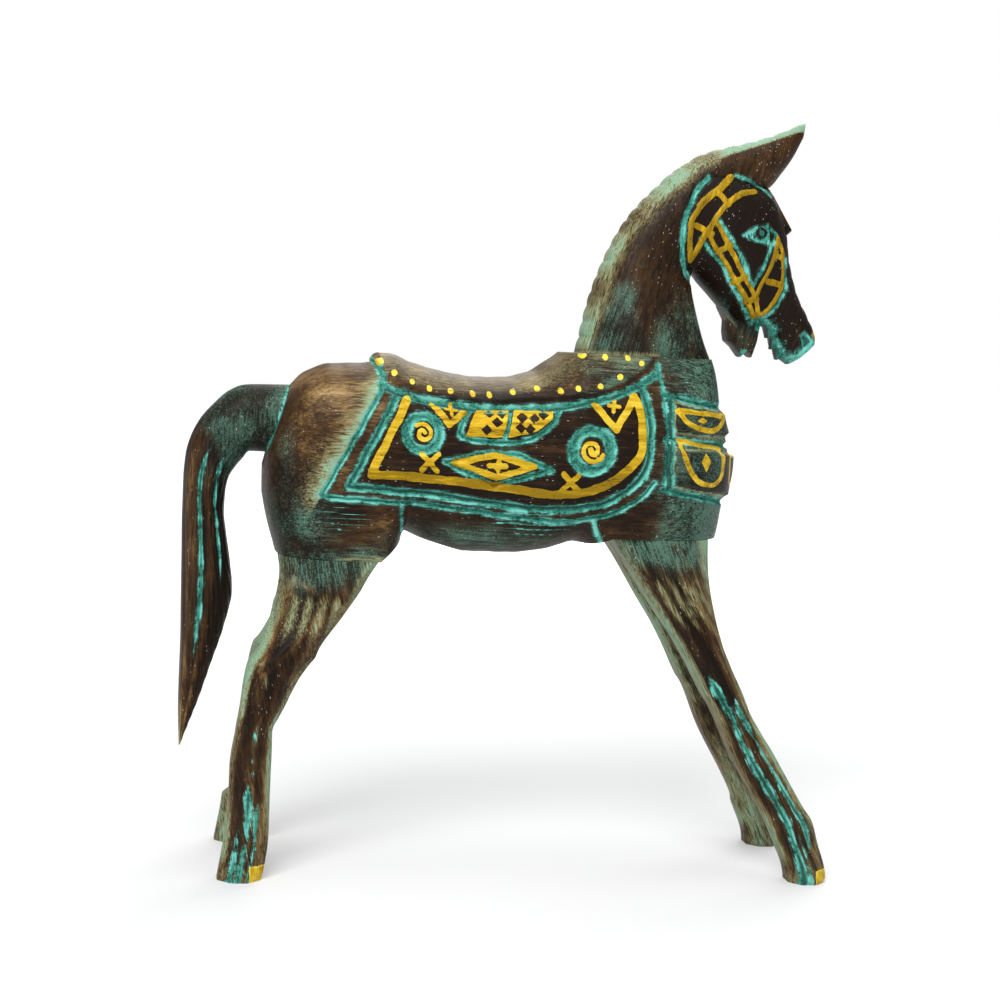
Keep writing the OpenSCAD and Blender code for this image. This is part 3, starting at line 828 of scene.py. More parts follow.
def torso_fields(grid):
    """Height of the carving over the plain torso, and its paint, from the place seen from the side."""
    steady = grid[..., [0, 2]]
    x, z = steady[..., 0], steady[..., 1]
    y = np.abs(grid[..., 1])
    p = hand(steady, 7, 0.20)
    front = hand(grid[..., [1, 2]], 7, 0.2)
    front = np.stack([np.abs(front[..., 0]), front[..., 1]], -1)
    sizes = bpy.context.scene.horse_carving
    saddle, lines, collar, band = torso_carving(p)

    height = sizes.saddle_lift / MM * ease(-0.5, 1.4, saddle)
    height = height + sizes.collar_lift / MM * ease(-0.6, 1.2, collar)
    height = height - sizes.groove_depth / MM * ease(-0.2, 1.5, lines)
    height = height - 0.5 * ease(0, 1.5, band)

    streaks = ease(0.35, 0.9, np.sin(z * 2.3 + 0.6 * np.sin(x * 0.2)))
    streaks = join(1.3 * streaks * blob(steady, (-93, 182), (15, 7)),
                   1.2 * streaks * blob(steady, (4, 184), (24, 7)))
    collar_paint = cut(stroke(p, COLLAR_EDGE, 3.2), collar)
    teal = join(lines, stroke(p, CANTLE, 1.5), np.where(collar > -4, collar_paint, UNPAINTED),
                2.2 * (streaks - 0.45) + UNPAINTED * ease(0.45, 0.2, streaks))

    # The pale wash fades away behind the blanket's rear edge
    rim_top, rim_foot = np.array(BLANKET_RIM[:2], float)
    rim_run = rim_top - rim_foot
    rim_x = rim_top[0] + (z - rim_top[1]) * rim_run[0] / rim_run[1]
    fade = np.exp(-distance(steady, BLANKET_RIM[:2]) / 9) * ease(0, 1.5, rim_x - x + 1)
    mint = join(
        # The second term is whiter on the saddle top near the spine: partly the pale wash, partly a painted
        # sheen
        0.90 * fade, 0.34 * ease(1, 4, saddle) * ease(44, 30, y),
        0.75 * np.exp(-np.abs(collar) / 2.2) * (collar < 0),
        0.7 * ease(168, 162, z) * (x < -40) * blob(steady, (-72, 163), (26, 8)),
        0.55 * blob(steady, (-66, 262), (8, 12)) * (x < -76),
    )
    window = patch(p, COLLAR_MOONS[1])
    stain = join(
        *spots(steady, STAIN_SPOTS), 0.78 * ease(-12, 16, x - 68) * (collar < 0),
        0.55 * ease(0, 2, saddle) * ease(10, 40, x),
        0.45 * ease(66, 70, x) * blob(steady, (88, 228), (30, 40)),
        0.7 * ease(0, 1, window) * ease(1, 3, x - 82),
    )
    panel = patch(steady, BLANKET_GROOVE)
    tone = (
        sum(spots(steady, TONE_SPOTS)) - 0.75 * ease(0, 2, stroke(steady, BORDER_LOW[:6], 4))
        - 0.55 * ease(0, 3, panel) + 0.75 * blob(steady, (0, 222.5), (60, 2.2)) * (panel > 0)
        + 0.55 * ease(0, 2, band) * (1 + np.sin(x * 0.16 + z * 0.11)) / 2
        # The first term is lighter on the saddle top near the spine, partly worn wood and partly a painted
        # sheen; the second is darker towards the bottom
        + 0.45 * ease(0, 2, saddle) * ease(46, 16, y) - 0.30 * ease(216, 182, z)
        - 0.50 * ease(0, 2, collar)
    )
    return height, (torso_gold(p, front, x), teal, mint, stain, tone)


def seat_mask(grid):
    """1 on free wood and 0 on the flat seats, so that carving never lifts a joint's face."""
    x, z = grid[..., 0], grid[..., 2]
    under = seat_level((x - RUMP_X) / TORSO_LENGTH)
    return ease(0, 1.5, NECK_SEAT - z) * ease(0, 1.5, z - under)


def tail_plane(z):
    """x of the tail seat's slanted plane at a height."""
    return TAIL_SEAT_LOW[0] + (z - TAIL_SEAT_LOW[1]) * math.tan(TAIL_LEAN)


def tail_seat(grid):
    """Moves what lies behind the tail seat's plane onto it."""
    x, z = grid[..., 0], grid[..., 2]
    low = TAIL_SEAT_LOW[1]
    beside = ease(low - 3 * TAIL_SEAT_MARGIN, low - TAIL_SEAT_MARGIN, z)
    moved = x + beside * (np.maximum(x, tail_plane(z)) - x)
    return np.stack([moved, grid[..., 1], z], -1)


def lower_angles(shares, t):
    """Angles round the lower slab's section. From the side to the corner, where the section meets the
    level of the seat, the places lie evenly, and from there to the bottom they lie evenly again."""
    depth = LOWER_SLAB * smooth(BELLY_LINE, shares)
    reach = np.clip((GLUE_LINE - seat_level(shares)) / depth, 0, 1)
    corner = np.minimum(np.arcsin(reach ** (FULLNESS / 2)), SIDE_SHARE * np.pi / 2)[:, None]
    v = 1 - np.abs(2 * t - 1)
    first = v / SIDE_SHARE * corner
    second = corner + (v - SIDE_SHARE) / (1 - SIDE_SHARE) * (np.pi / 2 - corner)
    quarter = np.where(v <= SIDE_SHARE, first, second)
    return np.where(t <= 0.5, -quarter, -np.pi + quarter)


def torso_half(name, upper):
    """One slab of the torso, carved: the plain grid moved along its normals by the carving's height."""
    knots = np.array([share for share, _ in (BACK_LINE if upper else BELLY_LINE)])
    shares = np.union1d(knots[0] + closer_at_ends(430) * (knots[-1] - knots[0]), knots)
    t = np.linspace(0, 1, 216 if upper else 208)
    angles = np.broadcast_to(np.pi * t, (len(shares), len(t))) if upper else lower_angles(shares, t)
    grid = torso_grid(shares, angles, upper)
    height, fields = torso_fields(grid)
    tool_marks = 0.10 * np.sin(grid[..., 0] * 0.55 + 0.4 * np.sin(grid[..., 2] * 0.3))
    moved = grid + outward(grid, closed=False) * ((height + tool_marks) * seat_mask(grid))[..., None]
    moved[:, [0, -1], 2] = GLUE_LINE
    moved[..., 2] = np.clip(moved[..., 2], GLUE_LINE if upper else HIP_SEAT, NECK_SEAT)
    moved[..., 0] = np.clip(moved[..., 0], RUMP_X, None)
    return painted_solid(name, tail_seat(moved), fields)


# ---------------------------------------------------------------- neck, tail and legs

def ring_between(edge_a, edge_b, half, fullness, count):
    """Rounded section across the horse, standing on the side-view line from edge b to edge a."""
    angle = np.linspace(0, 2 * np.pi, count, endpoint=False)
    share = (1 + bulge(np.cos(angle), fullness)) / 2
    spot = edge_b[:, None] + (edge_a - edge_b)[:, None] * share[None, :, None]
    y = half[:, None] * bulge(np.sin(angle), fullness)[None]
    return np.stack([spot[..., 0], y, spot[..., 1]], -1)


def numbered(rows, count):
    """Row numbers spread evenly over a table, and its columns there as smooth curves of the row number."""
    at = np.linspace(0, len(rows) - 1, count)
    return at, columns(np.column_stack([np.arange(len(rows)), rows]), at)


def neck_place(points):
    """x from the neck's front and a share of its height, as x and z in mm."""
    return np.stack([NECK_FRONT_X + points[..., 0], NECK_SEAT + points[..., 1] * NECK_HEIGHT], -1)


def in_mm(rings, half):
    """The same rings with their half widths in mm."""
    return [(*ring[:4], ring[4] * half) for ring in rings]


def neck_loft(rings, fullness, rows, count):
    """Rings through the neck's stations, each measure a smooth curve of the station's number."""
    curves = numbered(rings, rows)[1]
    return ring_between(neck_place(curves[:, :2]), neck_place(curves[:, 2:4]), curves[:, 4], fullness, count)


def plate(outline, half, rows=9):
    """A side outline as thick as twice half, its rim drawn in towards both faces like a pillow."""
    edge = round_outline(neck_place(np.array(outline, float)), 6)
    middle = edge.mean(axis=0)
    across = np.linspace(-1, 1, rows)
    scale = 1 - 0.10 * np.abs(across) ** 3
    spot = middle + (edge - middle)[None] * scale[:, None, None]
    y = np.broadcast_to((half * across)[:, None], spot.shape[:2])
    return np.stack([spot[..., 0], y, spot[..., 1]], -1)


def unite(body, others):
    """Joins closed pieces into one skin and drops the rest of each."""
    for other in others:
        join_step = body.modifiers.new("join", "BOOLEAN")
        join_step.operation = "UNION"
        join_step.object = other
        join_step.solver = "MANIFOLD"
    graph = bpy.context.evaluated_depsgraph_get()
    mesh = bpy.data.meshes.new_from_object(body.evaluated_get(graph))
    body.modifiers.clear()
    body.data = mesh
    for other in others:
        bpy.data.objects.remove(other)


def strap_fields(p):
    """The bridle's gold lines: crown band, cheek strap and noseband, each with cross bars."""
    return join(
        strokes(p, (CROWN_OUTER, CROWN_INNER), 1.45), stroke(p, CROWN_OUTER[:4], 1.9),
        strokes(p, CROWN_BARS + STRAP_BARS + NOSE_BARS, 1.5), strokes(p, STRAP_EDGES + NOSE_EDGES, 1.15),
    )


def neck_height(p, y):
    """Height of the neck and head's carving over the plain loft."""
    groove = bpy.context.scene.horse_carving.groove_depth / MM
    ledge = 0.9 * np.exp(-((distance(p, MANE_EDGE) / 1.6) ** 2))
    cheek = 0.85 * groove * ease(0, 1.6, stroke(p, CHEEK_GROOVE, 2))
    eye = 0.8 * ease(0, 1.4, patch(p, EYE)) - 1.1 * ease(0, 1.6, disc(p, PUPIL, 2.6))
    halo = 0.7 * ease(0, 1.3, strokes(p, HALOS, 1.4))
    lip = 1.3 * ease(0, 1.2, stroke(p, LIP_LINE, 1.5))
    nostril = 0.9 * ease(0, 1.5, patch(p, NOSTRIL))
    strap = 0.45 * ease(0, 0.8, strap_fields(p))
    ear = 0.9 * ease(0, 1.3, stroke(p, EAR_GROOVE, 1.6))
    return (strap - ledge - cheek - eye - halo - lip - nostril - ear) * ease(3, 8, y)


def neck_paint(places):
    """Paint of the neck and head, from the place seen from the side."""
    steady = places[:, [0, 2]]
    p = hand(steady, 7, 0.22, 1)
    x, z = steady[:, 0], steady[:, 1]
    y = np.abs(places[:, 1])
    side = np.where(y > 2.5, 0, UNPAINTED)
    head = ease(-1, 2, patch(p, HEAD_AREA))
    from_dot = (places - np.array([NOSE_DOT[0], 0, NOSE_DOT[1]])) * np.array([1, 0.35, 1])
    gold = join(strap_fields(p) + side, 3.4 - np.linalg.norm(from_dot, axis=-1))
    ring = 0.8 - np.abs(disc(p, PUPIL, 2.4))
    eye = cut(patch(p, EYE), ring, stroke(p, EYE_CREASE, 0.55))
    lips = 0.4 * join(stroke(p, LIP_LINE, 3.4), stroke(p, MUZZLE_EDGE, 2.2))
    teal = side + join(
        stroke(p, rounded(CHEEK_GROOVE), 1.3), stroke(p, EAR_GROOVE, 0.8), eye, patch(p, NOSTRIL),
        strokes(p, HALOS, 0.9), stroke(p, EYE_CORNER, 0.9), stroke(p, BEARD_FRONT, 1.5), lips,
    )
    mane_x, mane_z = np.array(MANE_EDGE[::-1], float).T
    above = ease(-1, 1.5, z - np.interp(x, mane_x, mane_z))
    ear_top = above * ease(80, 112, x)
    mint = join(
        0.80 * ear_top, (0.52 + 0.16 * np.sin(z * 0.16)) * above,
        0.42 * np.exp(-distance(steady, MANE_EDGE) / 5) * (x < 100),
        0.5 * ease(276, 272, z) * (x < 70), 0.4 * np.exp(-distance(steady, JAW_LINE) / 2),
    )
    stain = join(
        0.50 * ease(322, 284, z) * (x < 110), 0.45 * blob(steady, (52, 300), (12, 14)),
        0.40 * blob(steady, (120, 284), (9, 12)), 0.10 * head,
    )
    stain = stain * (1 - 0.8 * blob(steady, (62, 296), (5, 22)))
    tone = -0.20 - 0.95 * head + 0.35 * above * (1 - ear_top) + 0.35 * blob(steady, (148, 300), (9, 22))
    tone = tone - 0.30 * blob(steady, (74, 335), (16, 30)) + 0.30 * blob(steady, (58, 318), (8, 24))
    return gold, teal, mint, stain, tone


def scallops(grid, spacing, depth, end=1, first=0):
    """Small bites out of one end of the rings, 1 the crest or -1 the throat, from the first row on: the
    end moves in by a rounded comb along its path."""
    crest = grid[:, 0 if end > 0 else grid.shape[1] // 2]
    run = np.concatenate([[0], np.cumsum(np.linalg.norm(np.diff(crest, axis=0), axis=1))])
    comb = np.abs(np.sin(np.pi * run / spacing)) ** 0.6 if end > 0 else (run / spacing) % 1
    angle = np.linspace(0, 2 * np.pi, grid.shape[1], endpoint=False)
    near = np.clip(end * np.cos(angle), 0, 1) ** (10 if end > 0 else 3)
    depth = depth * ease(first, first + 8, np.arange(len(grid)))
    inward = grid.mean(axis=1, keepdims=True) - grid
    inward = inward / np.maximum(np.linalg.norm(inward, axis=-1, keepdims=True), 1e-9)
    return grid + inward * ((depth * (1 - comb))[:, None] * near[None])[..., None]


def neck_and_head(name):
    """Neck block: a fan of rings from the seat to the lips, with the ear spike, the forelock and the
    beard joined on."""
    rings = in_mm(NECK_RINGS, NECK_HALF) + in_mm(HEAD_RINGS, HEAD_HALF)
    grid = neck_loft(rings, FULLNESS, 300, 190)
    grid = scallops(grid, 8.5, 1.2)
    grid = scallops(grid, 6.5, 2.6, -1, 215)
    height = neck_height(hand(grid[..., [0, 2]], 7, 0.22, 1), np.abs(grid[..., 1]))
    grid = grid + outward(grid) * (height * ease(0, 2, grid[..., 2] - NECK_SEAT - 0.2))[..., None]
    grid[0, :, 2] = NECK_SEAT
    body = solid(name, grid)
    ears = scallops(neck_loft(in_mm(EAR_RINGS, HEAD_HALF), 2, 110, 96), 9.5, 0.8)
    unite(body, [solid("ears", ears), solid("forelock", plate(FORELOCK, FORELOCK_HALF)),
                 solid("beard", plate(CHIN, CHIN_HALF))])
    paint(body, neck_paint(places_of(body)))
    shade(body, 40)
    return body


def tail_piece(name):
    """Tail: rounded rings from its seat to its tip, with three strands cut along each side."""
    scale = np.array([TAIL_REACH, TAIL_SEAT_TOP[1] - TAIL_LOW])
    outer = np.vstack([TAIL_SEAT_TOP, TAIL_SEAT_TOP - np.array(TAIL_OUTER) * scale])
    inner = np.vstack([TAIL_SEAT_LOW, TAIL_SEAT_TOP - np.array(TAIL_INNER) * scale])
    half = TAIL_HALF * np.array([1] + TAIL_TAPER)
    at, curves = numbered(np.column_stack([outer, inner, half]), 300)
    edge_a, edge_b = curves[:, :2], curves[:, 2:4]
    grid = ring_between(edge_a, edge_b, curves[:, 4], TAIL_FULLNESS, 176)
    angle = np.linspace(0, 2 * np.pi, 176, endpoint=False)
    across = (1 - bulge(np.cos(angle), TAIL_FULLNESS))[None] / 2
    t = (at / at[-1])[:, None]
    width = np.linalg.norm(edge_a - edge_b, axis=1)[:, None]
    sway = 0.03 * np.sin(9 * t)
    strand_a = (1.3 - np.abs(across - 0.40 - sway) * width - 4 * ease(0.40, 0.20, t)
                - 5 * ease(0.70, 0.92, t))
    strand_b = (1.1 - np.abs(across - 0.74 + sway) * width - 4 * ease(0.32, 0.18, t)
                - 5 * ease(0.55, 0.74, t))
    strands = join(strand_a, strand_b)
    fine_cuts = 0.22 * np.sin(across * width * 2.1 + 2 * np.sin(5 * t)) * ease(0.15, 0.3, t)
    on_side = np.abs(np.sin(angle))[None] ** 0.5
    height = (-1.5 * ease(0, 1.2, strands) + fine_cuts) * on_side * ease(0, 0.03, t)
    moved = grid + outward(grid) * height[..., None]
    moved[..., 0] = np.clip(moved[..., 0], TAIL_BACK, None)
    moved[..., 2] = np.clip(moved[..., 2], TAIL_LOW, TAIL_SEAT_TOP[1])
    z = grid[..., 2]
    seam = 1.1 - np.abs(grid[..., 0] - tail_plane(z)) + UNPAINTED * ease(0, 3, TAIL_SEAT_LOW[1] - z)
    stain = join(0.46 * ease(0.42, 0.20, t), 0.3 * blob(grid[..., [0, 2]], (-150, 205), (20, 22)))
    mint = join(0.45 * ease(0.55, 1.0, t) * np.exp(-across * width / 3), 0.4 * ease(0.88, 1, t))
    bands = np.exp(-((across - 0.18) / 0.14) ** 2) + 0.9 * np.exp(-((across - 0.57) / 0.09) ** 2)
    tone = -0.42 + 0.85 * bands * ease(0.2, 0.45, t) - 0.20 * across + 0.75 * ease(0.72, 1, t)
    return painted_solid(name, moved, (UNPAINTED, join(strands, seam), mint, stain, tone))


def hock_outline(height, middle):
    """Side outline of the dark gouge that ends in a V above the hock."""
    return [(middle - 29, 0.655 * height), (middle - 23, 0.70 * height), (middle - 8, 0.80 * height),
            (middle - 4, 0.88 * height), (middle - 15, 0.92 * height), (middle - 20, 0.80 * height)]


def leg_rings(outline, middle, height, trim):
    """Rings of a left leg: an eight-sided section carried up the outline, its corners eased and its top
    drawn in to the torso. Trim slims the back edge, in mm at a share of the height. Gives the rings, the
    shares, both edges, and each place's side of the section's middle, 1 outside and -1 inside."""
    share = np.union1d(np.linspace(0, 1, 260), [row[0] for row in outline])
    back, front = (middle + column for column in columns(outline, share).T)
    back = back + smooth(trim, share)
    y_mid = (STANCE + share * (LEG_TOP_SPACING - STANCE)) / 2
    y_half = (HOOF_THICK + share * (LEG_TOP_THICK - HOOF_THICK)) / 2
    chamfer = LEG_CHAMFER * np.minimum(front - back, 2 * y_half) * (1 - 0.55 * ease(0.8, 0.97, share))
    corner_x = np.stack([back + chamfer, front - chamfer, front, front, front - chamfer, back + chamfer,
                         back, back], -1)
    corner_y = y_mid[:, None] + np.stack([-y_half, -y_half, -y_half + chamfer, y_half - chamfer, y_half,
                                          y_half, y_half - chamfer, -y_half + chamfer], -1)
    ring = round_outline(np.stack([corner_x, corner_y], -1), 13)
    for _ in range(3):
        ring = (np.roll(ring, 1, 1) + 2 * ring + np.roll(ring, -1, 1)) / 4
    side_limit = np.minimum(ring[..., 1], torso_side(ring[..., 0], height) + 0.4)
    ring[..., 1] += ease(0.70, 0.97, share)[:, None] * (side_limit - ring[..., 1])
    return ring, share, back, front, (ring[..., 1] - y_mid[:, None]) / y_half[:, None]


def leg_piece(name, side, outline, middle, height, trim, toe, flutes):
    """One leg with its flutes and painted toe, side 1 for the left and -1 for the right. Only a left leg
    is trimmed. Each flute has its place across the leg, its half width in mm, and the shares of the
    height it runs between, and is cut by a bell curve across them."""
    trim = trim if side > 0 else [(0, 0), (1, 0)]
    ring, share, back, front, depth = leg_rings(outline, middle, height, trim)
    rear = outline is REAR_LEG
    z = np.broadcast_to((share * height)[:, None], ring.shape[:2])
    grid = np.stack([ring[..., 0], side * ring[..., 1], z], -1)
    seen = grid[..., [0, 2]]
    wide = (front - back)[:, None]
    across = (grid[..., 0] - back[:, None]) / wide
    inner, outer = ease(0.2, 0.8, -depth), ease(0.2, 0.8, depth)
    t = share[:, None]
    flutes = [(reach, low, high, (across - place - 0.03 * np.sin(7 * t + place)) * wide)
              for place, reach, low, high in flutes]
    cuts = sum(
        0.50 * reach * np.exp(-((off / (reach + 0.7)) ** 2))
        * ease(low, low + 0.06, t) * ease(high + 0.10, high, t)
        for reach, low, high, off in flutes
    )
    channel = join(*[
        reach - 5 * (ease(low + 0.06, low, t) * (low > 0) + ease(high, high + 0.10, t)) - np.abs(off)
        for reach, low, high, off in flutes
    ])
    flute_edge = 0.35 * np.sin(across * wide * 1.9 + 1.3 * np.sin(t * 11))
    carving = -(cuts + flute_edge * ease(0.86, 0.5, t) * 0.6) * np.maximum(outer, 0.8 * inner)
    carving = carving * ease(0, 0.02, t) * ease(1, 0.93, t)
    gouge = patch(seen, hock_outline(height, middle))
    if rear:
        carving = carving - 1.3 * ease(-1, 3, gouge) * np.maximum(outer, inner)
    moved = grid + outward(grid) * carving[..., None]
    moved[..., 2] = z

    ahead = seen[..., 0] - (middle + outline[0][2] - toe[0])
    gold = reduce(np.minimum, [1, ahead + 1.5, toe[1] - seen[..., 1], 1 - 20 * inner])
    teal = channel - 3 * (1 - outer) + 0.6 * np.sin(t * 23 + across * 4) - 1.2
    edges = join(ease(0.20, 0.04, across), ease(0.78, 0.93, across))
    mint = join(
        0.72 * edges * ease(0, 0.1, t) * (0.72 + 0.28 * np.sin(9 * t + 1.5 + 3 * across)),
        0.30 * ease(-0.5, 1, channel) * outer * (0.5 + 0.5 * np.sin(31 * t)),
        0.44 * ease(0.68, 0.80, t) * ease(0.93, 0.86, t) * (0.75 + 0.35 * np.sin(across * wide * 0.9)),
        0.36 * ease(0.07, 0.02, t),
        # Painted glare: the pale wash on the inner faces stands for haze and glare on them
        0.58 * inner * (0.70 + 0.30 * np.sin(8 * t + 5 * across)) * ease(0.97, 0.85, t),
        0.40 * blob(seen, (middle + outline[-1][1] + 7, height * 0.83), (4, 14)),
        0.46 * blob(seen, (middle + outline[-1][2] - 9, height * 0.84), (8, 13)),
    )
    stain = join(0.80 * ease(0.84, 0.98, t), 0.20 * ease(0.5, 0.1, t),
                 0.85 * inner * (0.60 + 0.40 * np.sin(6 * t + 2)))
    dark_core = np.exp(-(((across - 0.45) * wide / 7) ** 2)) * ease(0.42, 0.55, t) * ease(0.98, 0.85, t)
    ridge = np.exp(-(((across - 0.54 - 0.03 * np.sin(7 * t)) * wide / 0.9) ** 2))
    tone = (
        0.18 - 0.75 * dark_core + 0.32 * np.sin(across * wide * 0.75 + 3 * t)
        + 0.25 * ease(0.5, 0.9, across) + 0.55 * ridge * outer * ease(0.66, 0.50, t)
        - 0.9 * ease(0, 1, gold)
    )
    if rear:
        mint = join(mint, 0.45 * blob(seen, (middle - 33, 0.675 * height), (5, 2)),
                    0.40 * blob(seen, (middle - 28, 0.625 * height), (2, 6)))
        rim = np.exp(-(((gouge + 2.2) / 1.6) ** 2))
        tone = tone - 0.9 * ease(-1, 2, gouge) + 0.8 * rim * ease(0.5, 0.62, t)
    return painted_solid(name, moved, (gold, teal, mint, stain, tone), 42)


# ---------------------------------------------------------------- add-on

def colour_prop(name, description, value):
    """A colour that can be changed in the panel."""
    return FloatVectorProperty(name=name, description=description, default=value, size=3, min=0, max=1,
                               subtype="COLOR")


def depth_prop(name, description, value):
    """A depth of the carving, in metres, that can be changed in the panel."""
    return FloatProperty(name=name, description=description, default=value, min=0, max=0.004, unit="LENGTH")


class HorseCarving(PropertyGroup):
    """Sizes of the carving."""
    groove_depth: depth_prop("Groove depth", "Depth of the grooves", 0.0022)
    saddle_lift: depth_prop("Saddle lift", "How far the saddle stands out of the torso", 0.0018)
    collar_lift: depth_prop("Collar lift", "How far the breast collar stands out of the torso", 0.0026)


class HorsePaint(PropertyGroup):
    """Colours of the wood and the paint."""
    espresso: colour_prop("Espresso", "Darkest wood", (0.0080, 0.0040, 0.0018))
    brown: colour_prop("Brown", "Stained wood", (0.050, 0.024, 0.0085))
    tan: colour_prop("Tan", "Thin stain", (0.165, 0.098, 0.036))
    worn: colour_prop("Worn", "Wood rubbed bare", (0.36, 0.25, 0.12))
    dust: colour_prop("Dust", "Pale dust in the pores", (0.62, 0.64, 0.56))
    # Also the painted shade deep in the grooves
    dark_stain_and_groove_shade: colour_prop("Dark stain", "Deep turquoise stain", (0.010, 0.024, 0.019))
    stain_light: colour_prop("Light stain", "Thin turquoise stain", (0.080, 0.195, 0.145))
    # Mint and cream are the pale wash, which on the saddle top is partly a painted sheen and on the legs'
    # inner faces is painted glare
    mint: colour_prop("Mint", "Pale mint wash", (0.215, 0.400, 0.275))
    cream: colour_prop("Cream", "Cream wash", (0.300, 0.270, 0.125))
    turquoise: colour_prop("Turquoise", "Paint in the grooves", (0.050, 0.270, 0.205))
    turquoise_deep: colour_prop("Deep turquoise", "Paint low in the grooves", (0.014, 0.110, 0.085))
    # Also the painted highlight on the grooves' rims
    aqua: colour_prop("Aqua", "Thick turquoise paint", (0.170, 0.560, 0.490))
    gold: colour_prop("Gold", "Gold paint", (0.500, 0.310, 0.010))
    gold_dark: colour_prop("Dark gold", "Thin gold paint", (0.250, 0.150, 0.004))
    gold_light: colour_prop("Light gold", "Thick gold paint", (0.800, 0.590, 0.060))


class CarveTorso(Operator):
    """Carves the two slabs of the torso, with the saddle, the blanket, the girth and the collar."""
    bl_idname = "horse.carve_torso"
    bl_label = "Carve torso"

    def execute(self, context):
        material = carved_wood("torso_wood", 0, (0.10, 1, 1), 1.1)
        for node, upper in (("torso_upper", True), ("torso_lower", False)):
            finish_piece(torso_half("carved_" + node, upper), node, material)
        return {"FINISHED"}


class CarveNeck(Operator):
    """Carves the neck, the head, the ears and the bridle."""
    bl_idname = "horse.carve_neck"
    bl_label = "Carve neck and head"

    def execute(self, context):
        material = carved_wood("neck_wood", math.radians(-14), (1, 1, 0.12), 0.6)
        finish_piece(neck_and_head("carved_neck_head"), "neck_head", material)
        return {"FINISHED"}


class CarveTail(Operator):
    """Carves the tail and its strands."""
    bl_idname = "horse.carve_tail"
    bl_label = "Carve tail"

    def execute(self, context):
        material = carved_wood("tail_wood", 0, (1, 1, 0.07), 2.6)
        finish_piece(tail_piece("carved_tail"), "tail", material)
        return {"FINISHED"}


class CarveLegs(Operator):
    """Carves the four legs, with their flutes and painted toes."""
    bl_idname = "horse.carve_legs"
    bl_label = "Carve legs"

    def execute(self, context):
        woods = {pair: carved_wood(pair + "_leg_wood", math.radians(lean), (1, 1, 0.07), 4.5)
                 for pair, lean in LEG_GRAIN_LEAN.items()}
        for side_name, side in (("right", -1), ("left", 1)):
            for pair, sizes in LEG_PAIRS.items():
                node = "leg_" + pair + "_" + side_name
                piece = leg_piece("carved_" + node, side, *sizes)
                finish_piece(piece, node, woods[pair])
        return {"FINISHED"}


class FinishPegs(Operator):
    """Gives the seven pegs their pale wood."""
    bl_idname = "horse.finish_pegs"
    bl_label = "Finish pegs"

    def execute(self, context):
        material = peg_wood()
        for name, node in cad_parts.items():
            if name.startswith("peg_"):
                for place in node.material_slots:
                    place.material = material
        return {"FINISHED"}


class SetStage(Operator):
    """Sets the pale floor, the soft lights and the camera."""
    bl_idname = "horse.set_stage"
    bl_label = "Set stage"

    def execute(self, context):
        scene = context.scene
        scene.view_settings.view_transform = "Standard"
        set_floor(scene)
        set_lights(scene)
        set_camera(scene)
        return {"FINISHED"}


def set_floor(scene):
    """A pale floor under the soles. It glows more with the distance, so that its far edge doesn't show."""
    reach = 6.0
    mesh = bpy.data.meshes.new("floor")
    corners = [(-reach, -reach, 0), (reach, -reach, 0), (reach, reach, 0), (-reach, reach, 0)]
    mesh.from_pydata(corners, [], [(0, 1, 2, 3)])
    floor = bpy.data.objects.new("floor", mesh)
    scene.collection.objects.link(floor)
    s = Shader("floor_white")
    places = s.places()
    grain = s.noise(places, 0.004, 2)
    colour = s.ramp(grain + 0.5, [(0, (0.54, 0.545, 0.55)), (1, (0.56, 0.56, 0.56))])
    away = Value(s, s.node("ShaderNodeVectorMath", {"operation": "LENGTH"}, {0: places}).outputs["Value"])
    glow = s.ramp(s.step(away, 250, 1600), [(0, (0.17, 0.17, 0.17)), (1, (0.85, 0.85, 0.85))])
    mesh.materials.append(s.skin({"Base Color": colour, "Roughness": 0.9, "Emission Color": glow,
                                  "Emission Strength": 1}))


def set_lights(scene):
    """A surround that looks white and lights softly, with three large soft lights round the horse."""
    world = bpy.data.worlds.new("surround")
    scene.world = world
    world.use_nodes = True
    background = world.node_tree.nodes["Background"]
    background.inputs["Color"].default_value = (1, 1, 1, 1)
    paths = world.node_tree.nodes.new("ShaderNodeLightPath")
    strength = world.node_tree.nodes.new("ShaderNodeMapRange")
    strength.inputs["To Min"].default_value = 0.42
    strength.inputs["To Max"].default_value = 1.0
    world.node_tree.links.new(paths.outputs["Is Camera Ray"], strength.inputs["Value"])
    world.node_tree.links.new(strength.outputs[0], background.inputs["Strength"])
    for name, place, size, power in LIGHTS:
        light = bpy.data.lights.new(name, "AREA")
        light.size = size
        light.energy = power
        holder = bpy.data.objects.new(name, light)
        holder.location = place
        aim = Vector((0, 0, 0.2)) - Vector(place)
        holder.rotation_euler = aim.to_track_quat("-Z", "Y").to_euler()
        scene.collection.objects.link(holder)


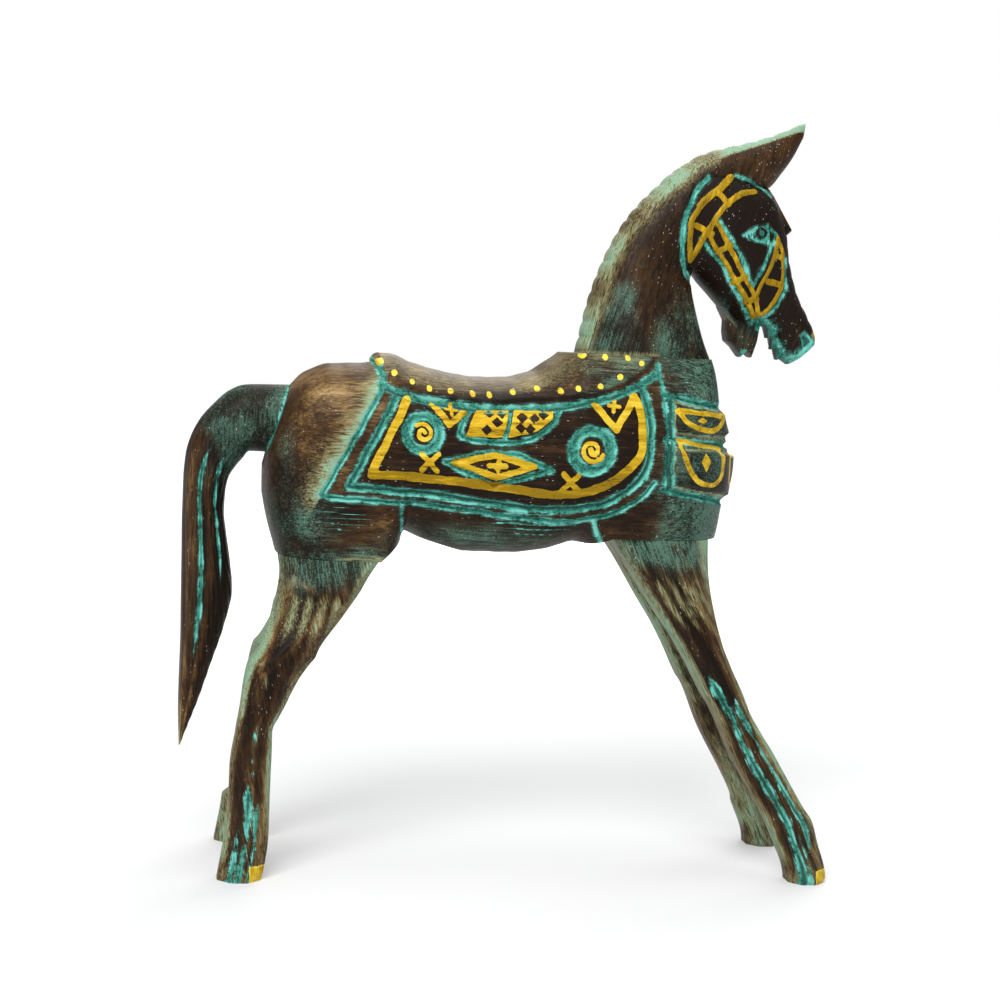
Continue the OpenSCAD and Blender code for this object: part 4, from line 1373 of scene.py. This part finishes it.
def set_camera(scene):
    """A long lens at the horse's right, a little behind and above it, and rolled slightly."""
    flat = math.cos(CAMERA_PITCH)
    ahead = Vector((math.sin(CAMERA_YAW) * flat, math.cos(CAMERA_YAW) * flat, -math.sin(CAMERA_PITCH)))
    level = Vector((math.cos(CAMERA_YAW), -math.sin(CAMERA_YAW), 0))
    above = level.cross(ahead)
    right = math.cos(CAMERA_ROLL) * level + math.sin(CAMERA_ROLL) * above
    up = right.cross(ahead)
    data = bpy.data.cameras.new("camera")
    data.sensor_width = 36
    data.lens = CAMERA_LENS
    data.clip_end = 50
    camera = bpy.data.objects.new("camera", data)
    turn = Matrix((right, up, -ahead)).transposed().to_4x4()
    camera.matrix_world = Matrix.Translation(Vector(CAMERA_PLACE)) @ turn
    scene.collection.objects.link(camera)
    scene.camera = camera


OPERATORS = (SetStage, CarveTorso, CarveNeck, CarveTail, CarveLegs, FinishPegs)


class HorsePanel(Panel):
    """Lists the steps that make the horse."""
    bl_idname = "VIEW3D_PT_horse"
    bl_label = "Carved wooden horse"
    bl_space_type = "VIEW_3D"
    bl_region_type = "UI"
    bl_category = "Horse"

    def draw(self, context):
        layout = self.layout
        for group in (context.scene.horse_carving, context.scene.horse_paint):
            for name in group.__annotations__:
                layout.prop(group, name)
        for operator in OPERATORS:
            layout.operator(operator.bl_idname)


CLASSES = (HorseCarving, HorsePaint, *OPERATORS, HorsePanel)


def register():
    """Adds the classes and the scene's two groups of properties."""
    for cls in CLASSES:
        bpy.utils.register_class(cls)
    bpy.types.Scene.horse_carving = PointerProperty(type=HorseCarving)
    bpy.types.Scene.horse_paint = PointerProperty(type=HorsePaint)


def unregister():
    """Takes away what register adds."""
    del bpy.types.Scene.horse_paint
    del bpy.types.Scene.horse_carving
    for cls in reversed(CLASSES):
        bpy.utils.unregister_class(cls)


def main():
    """Makes the horse step by step."""
    register()
    for operator in OPERATORS:
        space, name = operator.bl_idname.split(".")
        getattr(getattr(bpy.ops, space), name)()


if __name__ == "__main__":
    main()
